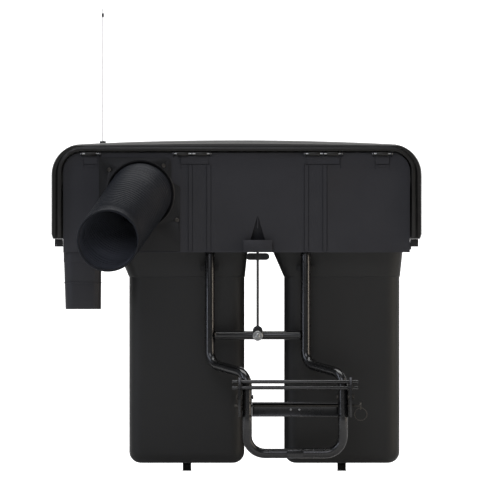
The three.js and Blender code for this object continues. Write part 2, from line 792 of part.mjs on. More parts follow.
// Guide boss on the cross tube, with a blind hole that the rod's end slides in
const bossBackY = uprightY - crossTubeRadius - fit;
const bossFrontY = latchY - bossNose;
const bossHoleZ = bossBoltZ + bossBoltRadius + 2;
add(latch, 'rod_guide', cut(
  join(
    rod(at(latchX, bossFrontY, bossZ), at(latchX, bossBackY, bossZ), bossRadius, 20),
    rod(at(latchX, bossFrontY, bossBoltZ), at(latchX, bossBackY, bossBoltZ), bossRadius - 2, 20),
  ),
  latchBore(bossHoleZ, bossZ + bossRadius + 5, play),
  bossBolt(bossBoltRadius + play),
), paint());

// Its bolt, from the dome of the head to the end behind the cross tube
const boltBackY = uprightY + crossTubeRadius;
const washerY = bossFrontY - fit - washerThickness;
const boltHeadY = washerY - 6.5;
add(latch, 'guide_bolt', turned([
  [0, boltHeadY],
  [bossBoltHead - 2, boltHeadY],
  [bossBoltHead, boltHeadY + 2],
  [bossBoltHead, washerY],
  [bossRadius, washerY],
  [bossRadius, washerY + washerThickness],
  [bossBoltRadius, washerY + washerThickness],
  [bossBoltRadius, boltBackY],
  [0, boltBackY],
], 'y', 20).translate([latchX, 0, bossBoltZ]), zinc());

const rodTopZ = keeperTopZ - 2;
const rodFootZ = bossHoleZ + latchTravel + 2;
const gripTop = panelBottomZ - latchGripDrop;
const gripFoot = gripTop - latchGripHeight;
const gripRound = latchGripHeight / 2;
add(latch, 'latch_rod', join(
  rod(at(latchX, latchY, rodFootZ), at(latchX, latchY, rodTopZ), latchRodRadius),
  rod(at(latchX, latchY, rodTopZ - 3), at(latchX, latchY, rodTopZ), springRadius + 1, 20),
), paint());
const gripOutline = roundedRectangle(
  latchX - latchGripWidth / 2, gripFoot, latchX + latchGripWidth / 2, gripTop, gripRound);
add(latch, 'latch_grip', cut(
  alongY(gripOutline, latchY - latchGripDepth / 2, latchY + latchGripDepth / 2, 4),
  latchBore(gripFoot - 5, gripTop + 5, fit),
), gripRubber());

const springFootZ = panelBottomZ + keeperWall + fit + springWire;
const springHeadZ = rodTopZ - 3 - fit - springWire;
const springSteps = springTurns * 8;
const coil = Array.from({ length: springSteps + 1 }, (_, i) => {
  const angle = (i / springSteps) * springTurns * Math.PI * 2;
  const z = springFootZ + (springHeadZ - springFootZ) * (i / springSteps);
  return at(latchX + Math.cos(angle) * springRadius, latchY + Math.sin(angle) * springRadius, z);
});
add(latch, 'latch_spring', tube(coil, springWire, 0, 6), zinc());

// ---------------------------------------------------------------- hood

const hood = new THREE.Group();
collector.add(hood);

// The hood's top falls away to the rear: the share of its height that is left at a given depth
const hoodFall = (y) => 1 - hoodSlope * ((y - hoodFrontY) / hoodDepth) ** 2;

// The shell as a loft from the rear to the front: rounded rear corners, then a shoulder round the front
// edge, where the crowned top flattens to a straight line
function hoodBody(inset, foot, overrun) {
  const roundSteps = 6;
  const topSteps = 3;
  const shoulderSteps = 3;
  const half = hoodHalf - inset;
  const height = hoodHeight - inset;
  const radius = hoodRearCorner - inset;
  const roundY = hoodFrontY + hoodDepth - hoodRearCorner;
  const shoulderY = hoodFrontY + hoodShoulder;
  const stations = [];
  for (let i = roundSteps; i >= 0; i--) {
    const angle = (i / roundSteps) * Math.PI / 2;
    stations.push({ y: roundY + radius * Math.sin(angle), retreat: radius * (1 - Math.cos(angle)), edge: 0 });
  }
  for (let i = 1; i < topSteps; i++) {
    stations.push({ y: roundY + (shoulderY - roundY) * (i / topSteps), retreat: 0, edge: 0 });
  }
  for (let i = shoulderSteps; i >= 0; i--) {
    const angle = (i / shoulderSteps) * Math.PI / 2;
    stations.push({ y: shoulderY - hoodShoulder * Math.cos(angle), retreat: 0, edge: 1 - Math.sin(angle) });
  }
  if (overrun > 0) stations.push({ y: hoodFrontY - overrun, retreat: 0, edge: 1 });
  const top = hoodSkirtZ + height - hoodCrown;
  const edgeTop = hoodEdgeZ - inset;
  const outline = arch(half, top, hoodCorner - inset, foot, hoodCrown);
  return loft(outline, stations.length, (x, z, k) => {
    const { y, retreat, edge } = stations[k];
    const wide = (half - retreat - edge * edgeTuck) / half;
    const level = z + edge * (Math.min(z, edgeTop) - z);
    const rise = level - hoodSkirtZ;
    const low = rise > 0 ? hoodFall(y) * (height - retreat) / height : 1;
    return [hoodX + x * wide, y, hoodSkirtZ + rise * low];
  }, 4);
}

// The marker wire stands in a grommet in the hood's top
const wireX = hoodLeft + wireFromEdge;
const wireFootZ = hoodSkirtZ + (hoodHeight - hoodCrown) * hoodFall(wireY);
const wireTopZ = hoodSkirtZ + hoodHeight + wireRise;
const wireLine = (z0, z1, radius, sides) => rod(at(wireX, wireY, z0), at(wireX, wireY, z1), radius, sides);
add(hood, 'hood_shell', cut(
  hoodBody(0, hoodSkirtZ, 0),
  hoodBody(hoodWall, hoodSkirtZ - 5, 4),
  wireLine(wireFootZ - 40, wireFootZ + 40, grommetRadius + fit, 12),
), hoodPlastic());
add(hood, 'wire_grommet', cut(
  wireLine(wireFootZ - grommetHalf, wireFootZ + grommetHalf, grommetRadius, 12),
  wireLine(wireFootZ - 20, wireFootZ + 20, wireRadius + fit, 8),
), gripRubber());
add(hood, 'marker_wire', wireLine(wireFootZ - wireTail, wireTopZ, wireRadius, 8), zinc());
const beadZ = wireTopZ - beadDrop;
add(hood, 'wire_bead', cut(
  turned([[0, beadZ - 6], [2.4, beadZ - 5], [3, beadZ], [2.4, beadZ + 5], [0, beadZ + 6]], 'z', 12)
    .translate([wireX, wireY, 0]),
  wireLine(beadZ - 20, beadZ + 20, wireRadius + fit, 8),
), gripRubber());

// Inner rim: a band round the front opening, carried by a web inside the shell
const rimFrontY = hoodFrontY + 1;
const rimBackY = rimFrontY + rimDepth + rimWeb;
const rimTopZ = hoodEdgeZ - hoodWall - fit;
const rimInnerHalf = hoodHalf - rimGroove - rimWidth;
function band(outerInset, y0, y1) {
  const outer = arch(hoodHalf - outerInset, rimTopZ, hoodCorner - outerInset, hoodSkirtZ);
  const inner = arch(rimInnerHalf, rimBottomZ, hoodCorner - rimGroove - rimWidth, hoodSkirtZ - 5);
  return cut(alongY(outer, y0, y1), alongY(inner, y0 - 1, y1 + 1));
}
add(hood, 'hood_inner_rim', join(
  band(rimGroove, rimFrontY, rimBackY),
  band(hoodWall + edgeTuck + fit, rimBackY - rimWeb, rimBackY),
).translate([hoodX, 0, 0]), hoodPlastic());

// Knuckles on the hinge pins, with a leaf up to the inner rim and a strap that joins a row's leaves
for (const hinge of hinges) {
  const xs = knuckleXs(hinge);
  const leafY = rimBackY + fit;
  const leafBackY = leafY + leafThickness;
  const leafTopZ = rimTopZ - 2;
  const bridgeZ = hingeZ + knuckleRadius - leafThickness - fit;
  const half = knuckleWidth / 2;
  const knuckles = xs.map((x) => join(
    rod(at(x - half, hingeY, hingeZ), at(x + half, hingeY, hingeZ), knuckleRadius, 16),
    block(x - half, hingeY, bridgeZ, x + half, leafBackY, bridgeZ + leafThickness),
    block(x - half, leafY, bridgeZ, x + half, leafBackY, leafTopZ),
  ));
  const strap = block(xs[0] - half, leafY, panelTopZ + 8, xs[xs.length - 1] + half, leafBackY, leafTopZ);
  add(hood, hinge.name + '_knuckle', cut(join(strap, ...knuckles), hingeBore(hinge, 1)), hoodPlastic());
}

// Grab handle on the rear
const rearY = hoodFrontY + hoodDepth;
const handleZ = hoodSkirtZ + handleRise;
add(hood, 'hood_handle', tube(bentLine([
  at(hoodX - handleWidth / 2, rearY + fit, handleZ),
  at(hoodX - handleWidth / 2, rearY + handleReach, handleZ),
  at(hoodX + handleWidth / 2, rearY + handleReach, handleZ),
  at(hoodX + handleWidth / 2, rearY + fit, handleZ),
], handleBend), handleRadius, 0, 12), gripRubber());

// ---------------------------------------------------------------- bins

// A bin's body about its own middle: a rounded floor, straight walls, and a shoulder that leans out to the
// rim, further on the left than on the other sides
function binBody(inset, floorZ, topZ) {
  const stations = [];
  const roundSteps = 3;
  for (let i = 0; i <= roundSteps; i++) {
    const angle = (i / roundSteps) * Math.PI / 2;
    const z = floorZ + binFoot * (1 - Math.cos(angle));
    stations.push({ z, retreat: binFoot * (1 - Math.sin(angle)), flare: 0 });
  }
  stations.push({ z: binShoulderZ, retreat: 0, flare: 0 });
  stations.push({ z: topZ, retreat: 0, flare: (topZ - binShoulderZ) / (binTopZ - binShoulderZ) });
  const wide = binWidth / 2 - inset;
  const deep = binDepth / 2 - inset;
  return loft(roundedRectangle(-wide, -deep, wide, deep, binCorner - inset), stations.length, (x, y, k) => {
    const { z, retreat, flare } = stations[k];
    const lean = x < 0 ? flareLeft : flareRight;
    return [
      x + Math.sign(x) * (lean * flare - retreat),
      y + Math.sign(y) * (flareRight * flare - retreat),
      z,
    ];
  }, 3);
}

for (const side of ['left', 'right']) {
  const bin = new THREE.Group();
  bin.position.set(binXs[side], binY, 0);
  collector.add(bin);
  add(bin, side + '_bin_shell', cut(
    binBody(0, binFloorZ, binTopZ),
    binBody(binWall, binFloorZ + binWall, binTopZ + 2),
  ), binPlastic());

  const lipY = binDepth / 2 + flareRight + lipWidth;
  const lipLeft = -binWidth / 2 - flareLeft - lipSideWidth;
  const lipRight = binWidth / 2 + flareRight + lipSideWidth;
  const lip = roundedRectangle(lipLeft, -lipY, lipRight, lipY, binCorner);
  add(bin, side + '_bin_rim', cut(
    alongZ(lip, railTopZ + fit, railTopZ + fit + lipThickness, 3),
    binBody(-fit, binFloorZ, binTopZ + 1),
  ), binPlastic());

  const gripTopZ = binFloorZ - fit;
  const grip = roundedRectangle(-gripLength / 2, gripTopZ - gripDrop, gripLength / 2, gripTopZ, 10);
  const gapHalf = gripLength / 2 - gripBar;
  const gapFootZ = gripTopZ - gripDrop + gripBar;
  grip.holes.push(roundedRectangle(-gapHalf, gapFootZ, gapHalf, gripTopZ - gripTopBar, 6));
  add(bin, side + '_bin_grip', alongX(grip, -gripWidth / 2, gripWidth / 2, 3), binPlastic());
}

export default collector;
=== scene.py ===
import math
import bpy
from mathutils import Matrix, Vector


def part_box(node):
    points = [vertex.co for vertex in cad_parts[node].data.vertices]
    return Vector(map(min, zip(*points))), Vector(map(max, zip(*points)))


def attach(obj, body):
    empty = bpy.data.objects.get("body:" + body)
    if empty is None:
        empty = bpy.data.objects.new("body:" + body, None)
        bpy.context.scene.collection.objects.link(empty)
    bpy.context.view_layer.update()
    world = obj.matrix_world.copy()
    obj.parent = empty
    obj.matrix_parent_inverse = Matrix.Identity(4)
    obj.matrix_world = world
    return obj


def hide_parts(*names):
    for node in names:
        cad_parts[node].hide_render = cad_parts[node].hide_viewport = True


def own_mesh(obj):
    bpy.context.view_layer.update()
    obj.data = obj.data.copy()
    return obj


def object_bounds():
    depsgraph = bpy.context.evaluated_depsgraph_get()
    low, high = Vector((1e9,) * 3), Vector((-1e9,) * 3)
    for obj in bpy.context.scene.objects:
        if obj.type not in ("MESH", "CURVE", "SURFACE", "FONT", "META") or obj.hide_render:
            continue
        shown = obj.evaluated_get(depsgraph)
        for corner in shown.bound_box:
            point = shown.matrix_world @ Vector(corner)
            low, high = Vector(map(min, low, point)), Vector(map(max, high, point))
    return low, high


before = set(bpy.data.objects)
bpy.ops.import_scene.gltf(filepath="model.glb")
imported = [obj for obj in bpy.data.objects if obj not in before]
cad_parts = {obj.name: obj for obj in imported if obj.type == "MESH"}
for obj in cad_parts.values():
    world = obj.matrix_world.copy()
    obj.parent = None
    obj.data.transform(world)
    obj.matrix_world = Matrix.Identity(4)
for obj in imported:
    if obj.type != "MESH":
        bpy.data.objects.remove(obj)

cad_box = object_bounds()

# ---- Bent tube frame ---------------------------------------------------------------------------------
# One length of 25 mm round steel tube runs down the left upright, round the foot loop and up the right
# upright. It is bent cold on a former, drilled for the hitch pin and bolts, and powder coated gloss black.

mm = 0.001


def alone(*pieces):
    """Leaves just these pieces selected, the first of them active"""
    bpy.ops.object.select_all(action="DESELECT")
    for piece in pieces:
        piece.select_set(True)
    bpy.context.view_layer.objects.active = pieces[0]


def settle(name):
    """Names the primitive just added, and moves its place into its mesh"""
    piece = bpy.context.object
    piece.name = name
    alone(piece)
    bpy.ops.object.transform_apply(location=True, rotation=True, scale=True)
    return piece


def work_on(piece, chosen="SELECT"):
    """Goes into edit mode on a piece, with everything or nothing selected"""
    alone(piece)
    bpy.ops.object.mode_set(mode="EDIT")
    bpy.ops.mesh.select_mode(type="VERT")
    bpy.ops.mesh.select_all(action=chosen)


def ring(name, place, along, radius, sides=40):
    """A round outline square to a direction, ready to be pulled"""
    turn = Vector(along).to_track_quat("Z", "Y").to_euler()
    bpy.ops.mesh.primitive_circle_add(vertices=sides, radius=radius, location=place, rotation=turn)
    piece = settle(name)
    work_on(piece)
    return piece


def pull(corners, bend=0, steps=12):
    """Pulls the selected outline from the first corner through the others, and spins it round each bend"""
    here = corners[0]
    bends = bend if isinstance(bend, list) else [bend] * (len(corners) - 2)
    for corner, following, radius in zip(corners[1:-1], corners[2:], bends):
        before = (corner - here).normalized()
        after = (following - corner).normalized()
        turn = before.angle(after)
        start = corner - before * radius * math.tan(turn / 2)
        axis = before.cross(after).normalized()
        centre = start + axis.cross(before) * radius
        bpy.ops.mesh.extrude_region_move(TRANSFORM_OT_translate={"value": start - here})
        bpy.ops.mesh.spin(steps=steps, angle=-turn, center=centre, axis=axis)
        here = corner + after * radius * math.tan(turn / 2)
    bpy.ops.mesh.extrude_region_move(TRANSFORM_OT_translate={"value": corners[-1] - here})


def close_up():
    """Merges doubles, fills what is open, turns all faces outwards and leaves edit mode"""
    bpy.ops.mesh.select_mode(type="VERT")
    bpy.ops.mesh.select_all(action="SELECT")
    bpy.ops.mesh.remove_doubles(threshold=0.005 * mm)
    bpy.ops.mesh.fill_holes(sides=0)
    bpy.ops.mesh.normals_make_consistent(inside=False)
    bpy.ops.object.mode_set(mode="OBJECT")


def use(piece, kind, **settings):
    """Adds a modifier to a piece and applies it"""
    modifier = piece.modifiers.new(kind, kind)
    for key, value in settings.items():
        setattr(modifier, key, value)
    alone(piece)
    bpy.ops.object.modifier_apply(modifier=modifier.name)
    return piece


def round_edges(piece, width, segments=3, angle=30):
    """Rounds the edges that are sharper than an angle"""
    return use(piece, "BEVEL", width=width, segments=segments, limit_method="ANGLE",
               angle_limit=math.radians(angle), use_clamp_overlap=True)


def cut(piece, *tools):
    """Cuts other shapes out of a piece and throws them away"""
    for tool in tools:
        use(piece, "BOOLEAN", object=tool, operation="DIFFERENCE", solver="EXACT")
        bpy.data.objects.remove(tool)
    return piece


def pole(start, end, radius, sides=32, name="pole"):
    """A round solid from one point to another"""
    along = end - start
    turn = along.to_track_quat("Z", "Y").to_euler()
    bpy.ops.mesh.primitive_cylinder_add(vertices=sides, radius=radius, depth=along.length,
                                        location=(start + end) / 2, rotation=turn)
    return settle(name)


def colour(code):
    """An sRGB hex colour as linear light"""
    shares = [int(code[i:i + 2], 16) / 255 for i in (1, 3, 5)]
    return (*[s / 12.92 if s <= 0.04045 else ((s + 0.055) / 1.055) ** 2.4 for s in shares], 1)


def add(material, kind, sockets, **settings):
    """Adds a node to a material, with its settings, and values or other nodes' outputs in its sockets"""
    tree = material.node_tree
    node = tree.nodes.new(kind)
    for key, value in settings.items():
        setattr(node, key, value)
    for key, value in sockets.items():
        if isinstance(value, bpy.types.NodeSocket):
            tree.links.new(value, node.inputs[key])
        else:
            node.inputs[key].default_value = value
    return node


def finish(name, dark, light, patch, grain, relief, gloss, **shader):
    """A finish whose colour and gloss drift over patches, with a fine grain in relief; sizes are in metres"""
    material = bpy.data.materials.new(name)
    material.use_nodes = True
    material.node_tree.nodes.clear()
    place = add(material, "ShaderNodeTexCoord", {}).outputs["Object"]
    drift = add(material, "ShaderNodeTexNoise",
                {"Vector": place, "Scale": 1 / patch, "Detail": 5.0, "Roughness": 0.6}).outputs[0]
    fine = add(material, "ShaderNodeTexNoise",
               {"Vector": place, "Scale": 1 / grain, "Detail": 2.0}).outputs[0]
    tone = add(material, "ShaderNodeMix", {0: drift, 6: colour(dark), 7: colour(light)}, data_type="RGBA")
    shine = add(material, "ShaderNodeMapRange",
                {"Value": drift, "From Min": 0.3, "From Max": 0.7, "To Min": gloss[0], "To Max": gloss[1]})
    bump = add(material, "ShaderNodeBump", {"Strength": 0.6, "Distance": relief, "Height": fine})
    surface = add(material, "ShaderNodeBsdfPrincipled",
                  {"Base Color": tone.outputs[2], "Roughness": shine.outputs[0],
                   "Normal": bump.outputs[0], **shader})
    add(material, "ShaderNodeOutputMaterial", {"Surface": surface.outputs[0]})
    return material


def hand_over(piece, material, body, slot, *nodes, sharp=35):
    """Smooths a finished piece, gives it its finish and body, and hides the CAD nodes that it stands for"""
    alone(piece)
    bpy.ops.object.shade_smooth_by_angle(angle=math.radians(sharp))
    piece.data.materials.clear()
    piece.data.materials.append(material)
    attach(piece, body)
    if nodes:
        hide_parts(*nodes)


# Baked powder coat: a gloss film with a slight orange peel of about 2 mm, so highlights run soft-edged
powder_coat = finish("gloss_black_powder_coat_on_steel", "#0a0a0a", "#101010", 60 * mm, 2.2 * mm, 0.006 * mm,
                     (0.22, 0.32), **{"IOR": 1.5, "Coat Weight": 0.3, "Coat Roughness": 0.14})

tube_radius = 12.7 * mm
foot_lean = 20 * mm
foot_knee = 24 * mm
left_low, left_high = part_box("left_frame_tube")
right_low, right_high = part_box("right_frame_tube")
foot_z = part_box("foot_loop")[0].z + tube_radius
leg_y = left_low.y + tube_radius
upright_y = left_high.y - tube_radius
leg_end = left_low.z
upper_bend = 118 * mm
lower_bend = 91 * mm
half_bends = [40 * mm, 40 * mm, 140 * mm, 47 * mm]
upright_xs = [left_low.x + tube_radius, right_low.x + tube_radius]
leg_xs = [left_high.x - tube_radius, right_high.x - tube_radius]
half_line = [
    [
        Vector((upright_xs[i], upright_y, left_high.z)),
        Vector((upright_xs[i], upright_y, upper_bend)),
        Vector((leg_xs[i], leg_y, lower_bend)),
        Vector((leg_xs[i], leg_y, leg_end - foot_knee)),
        Vector((leg_xs[i], leg_y + foot_lean, foot_z)),
    ]
    for i in (0, 1)
]
tube_line = half_line[0] + half_line[1][::-1]
frame_tube = ring("frame_tube", tube_line[0], (0, 0, -1), tube_radius, 48)
pull(tube_line, half_bends + half_bends[::-1])
close_up()
pin_hole_z = 8.5 * mm
bolt_hole_z = sum(corner.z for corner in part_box("left_leg_bolt")) / 2
pin_hole_radius = 3.8 * mm
bolt_hole_radius = 4.5 * mm
drill_reach = 20 * mm
holes = [
    pole(Vector((x - drill_reach, leg_y, z)), Vector((x + drill_reach, leg_y, z)), radius)
    for x in leg_xs
    for z, radius in ((pin_hole_z, pin_hole_radius), (bolt_hole_z, bolt_hole_radius))
]
cut(frame_tube, *holes)
round_edges(frame_tube, 0.6 * mm, 2, 50)
hand_over(frame_tube, powder_coat, "frame", "black_paint", "left_frame_tube", "right_frame_tube", "foot_loop")

# ---- Cross tube and its welds ------------------------------------------------------------------------
# A thinner tube between the uprights that holds the latch's guide. Its ends are welded all round, so the
# paint runs over a fillet bead at each upright.

cross_low, cross_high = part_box("cross_tube")
cross_radius = 11 * mm
weld = 2.5 * mm
weld_throat = 1.2 * mm
weld_toe = 2 * mm
plain_length = cross_high.x - cross_low.x - 2 * (weld_throat + weld_toe)
cross_z = (cross_low.z + cross_high.z) / 2
cross_tube = ring("cross_tube", Vector((cross_low.x, upright_y, cross_z)), (1, 0, 0), cross_radius + weld, 40)
for step, grow in (
    (weld_throat, cross_radius + weld * 0.45),
    (weld_toe, cross_radius),
    (plain_length, cross_radius),
    (weld_toe, cross_radius + weld * 0.45),
    (weld_throat, cross_radius + weld),
):
    bpy.ops.mesh.extrude_region_move(TRANSFORM_OT_translate={"value": (step, 0, 0)})
    bpy.ops.object.mode_set(mode="OBJECT")
    for vertex in cross_tube.data.vertices:
        if vertex.select:
            away = Vector((0, vertex.co.y - upright_y, vertex.co.z - cross_z)).normalized() * grow
            vertex.co.y = upright_y + away.y
            vertex.co.z = cross_z + away.z
    bpy.ops.object.mode_set(mode="EDIT")
close_up()
hand_over(cross_tube, powder_coat, "frame", "black_paint", "cross_tube")

# ---- Hitch channel, side plates and foot pad ---------------------------------------------------------
# The channel is folded from 4 mm plate and the side plates are laser cut from 6 mm plate. Their edges are
# tumbled round before painting. A small plate is welded on the foot loop.


def merged(node, name):
    """A copy of a CAD node with its triangles merged into whole faces"""
    piece = bpy.data.objects.new(name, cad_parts[node].data.copy())
    bpy.context.scene.collection.objects.link(piece)
    work_on(piece)
    bpy.ops.mesh.customdata_custom_splitnormals_clear()
    bpy.ops.mesh.remove_doubles(threshold=0.005 * mm)
    bpy.ops.mesh.dissolve_limited(angle_limit=math.radians(2))
    bpy.ops.object.mode_set(mode="OBJECT")
    return piece


def softened(node, name, width, segments=2):
    """A merged copy of a CAD node with its sharp edges rounded"""
    return round_edges(merged(node, name), width, segments, 32)


for node, width in (("hitch_channel", 0.9 * mm), ("left_hitch_plate", 0.8 * mm),
                    ("right_hitch_plate", 0.8 * mm), ("foot_pad", 0.8 * mm)):
    hand_over(softened(node, node + "_edged", width), powder_coat, "frame", "black_paint", node)

# ---- Hitch hardware ----------------------------------------------------------------------------------
# Black passivated steel: bolts with hexagon nuts, the pull pin with its pierced flat head, and its split
# ring. Two bright rivets close the channel. Two painted tie rods hold the plates together, each kept by a
# spring clip at both ends.

# Bright zinc: a metal with a soft sheen, drifting slightly between blue-grey and warm grey
zinc_plate = finish("bright_zinc_plated_steel", "#8d9094", "#bdbcb6", 9 * mm, 0.7 * mm, 0.01 * mm,
                    (0.24, 0.42), Metallic=1.0)

# Black passivated zinc: dark, a little iridescent grey at the edges, semi-matt
black_zinc = finish("black_passivated_zinc_on_steel", "#3c3a37", "#585550", 6 * mm, 0.5 * mm, 0.004 * mm,
                    (0.35, 0.5), Metallic=1.0)

rivet_radius = 3 * mm
rivet_head = 2 * mm
rivet_foot = 0.5 * mm
rivet_z = -1.5 * mm
for side, x in (("left", -11 * mm), ("right", 11 * mm)):
    rivet = pole(Vector((x, -rivet_head, rivet_z)), Vector((x, rivet_foot, rivet_z)), rivet_radius, 32,
                 side + "_web_rivet")
    round_edges(rivet, rivet_radius / 2, 4, 60)
    hand_over(rivet, zinc_plate, "frame", "zinc")

for node in ("left_leg_bolt", "right_leg_bolt"):
    hand_over(softened(node, node + "_edged", 0.7 * mm), black_zinc, "frame", "zinc", node)
hand_over(softened("hitch_pin", "hitch_pin_edged", 0.7 * mm), black_zinc, "hitch_pin", "zinc", "hitch_pin")

tie_radius = 5 * mm
clip_wire = 0.9 * mm
clip_gap = 1.6 * mm
plate_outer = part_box("right_hitch_plate")[1].x
for node in ("upper_tie_rod", "lower_tie_rod"):
    low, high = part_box(node)
    middle = (low + high) / 2
    rod = pole(Vector((low.x, middle.y, middle.z)), Vector((high.x, middle.y, middle.z)), tie_radius, 32,
               node + "_turned")
    round_edges(rod, 1 * mm, 3, 60)
    hand_over(rod, powder_coat, "frame", "black_paint", node)
    for side in (-1, 1):
        clip_top = Vector((side * (plate_outer + clip_gap), middle.y,
                           middle.z + tie_radius + clip_wire * 0.6))
        clip = ring(node + ("_left_clip" if side < 0 else "_right_clip"), clip_top, (0, 1, 0), clip_wire, 10)
        bpy.ops.mesh.spin(steps=24, angle=math.radians(320), center=(0, middle.y, middle.z),
                          axis=(1, 0, 0))
        close_up()
        hand_over(clip, black_zinc, "frame", "zinc")

ring_low, ring_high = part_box("pin_ring")
ring_centre = (ring_low + ring_high) / 2
wire = 1.1 * mm
split = 1.3 * mm
wire_sides = 12
ring_steps = 72
ring_radius = (ring_high.x - ring_low.x) / 2 - 1.6 * mm
pin_ring = ring("split_ring", ring_centre + Vector((0, -split / 2, ring_radius)), (1, 0, 0), wire, wire_sides)
bpy.ops.mesh.spin(steps=ring_steps, angle=math.radians(690), center=ring_centre, axis=(0, 1, 0))
bpy.ops.object.mode_set(mode="OBJECT")
for i, vertex in enumerate(pin_ring.data.vertices):
    vertex.co.y += split * (i // wire_sides) / ring_steps
work_on(pin_ring)
close_up()
hand_over(pin_ring, black_zinc, "pin_ring", "zinc", "pin_ring")

# ---- Carrier rails, bin stops and end caps -----------------------------------------------------------
# Square steel tube with rounded corners, painted with the frame, carries the bins by their rims. A rubber
# stop behind each upright keeps the bins from knocking on it, and moulded caps close the side rails.

for node in ("front_ledge", "rear_rail", "centre_beam", "left_side_rail", "right_side_rail"):
    hand_over(softened(node, node + "_edged", 0.7 * mm), powder_coat, "frame", "black_paint", node)

# Moulded rubber: matt, a fine bead-blasted grain, hardly any reflection
grip_rubber = finish("moulded_black_rubber", "#0d0d0d", "#161615", 25 * mm, 0.8 * mm, 0.05 * mm, (0.62, 0.8),
                     IOR=1.52, **{"Specular IOR Level": 0.35})

for node in ("left_bin_stop", "right_bin_stop"):
    hand_over(softened(node, node + "_edged", 0.6 * mm), grip_rubber, "frame", "grip_rubber", node)

cap_lap = 3.5 * mm
cap_wall = 3 * mm
cap_ahead = 1.6 * mm
cap_chamfer = 5 * mm
for side, outwards in (("left", -1), ("right", 1)):
    low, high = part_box(side + "_side_rail")
    outer_x, inner_x = (high.x, low.x - cap_lap) if outwards > 0 else (low.x, high.x + cap_lap)
    cap_middle = ((outer_x + inner_x) / 2, low.y - cap_ahead, (low.z + high.z) / 2)
    cap_size = (abs(outer_x - inner_x), cap_wall, high.z - low.z)
    bpy.ops.mesh.primitive_cube_add(size=1, location=cap_middle, scale=cap_size)
    cap = settle(side + "_rail_cap")
    for vertex in cap.data.vertices:
        if abs(vertex.co.x - outer_x) < mm and vertex.co.z < low.z + mm:
            vertex.co.x -= outwards * cap_chamfer
    round_edges(cap, 0.8 * mm, 2, 30)
    hand_over(cap, grip_rubber, "frame", "grip_rubber")

# ---- Bins --------------------------------------------------------------------------------------------
# Each bin is one rotationally moulded polyethylene tub: a rounded floor, drafted walls, a shoulder that
# leans out to the rim, and a rim turned down over the rails. A moulded grip stands under the floor.


def select_where(piece, kind, test):
    """In edit mode, selects the edges or faces whose corners all pass a test"""
    bpy.ops.mesh.select_mode(type=kind)
    bpy.ops.mesh.select_all(action="DESELECT")
    bpy.ops.object.mode_set(mode="OBJECT")
    mesh = piece.data
    for part in {"EDGE": mesh.edges, "FACE": mesh.polygons}[kind]:
        part.select = all(test(mesh.vertices[i].co) for i in part.vertices)
    bpy.ops.object.mode_set(mode="EDIT")


# Rotomoulded polyethylene: satin, with a faint orange peel of a few millimetres and slow tone drift
bin_plastic = finish("rotomoulded_black_polyethylene", "#1f1f1e", "#262625", 120 * mm, 3 * mm, 0.03 * mm,
                     (0.42, 0.55), IOR=1.51, **{"Specular IOR Level": 0.24})

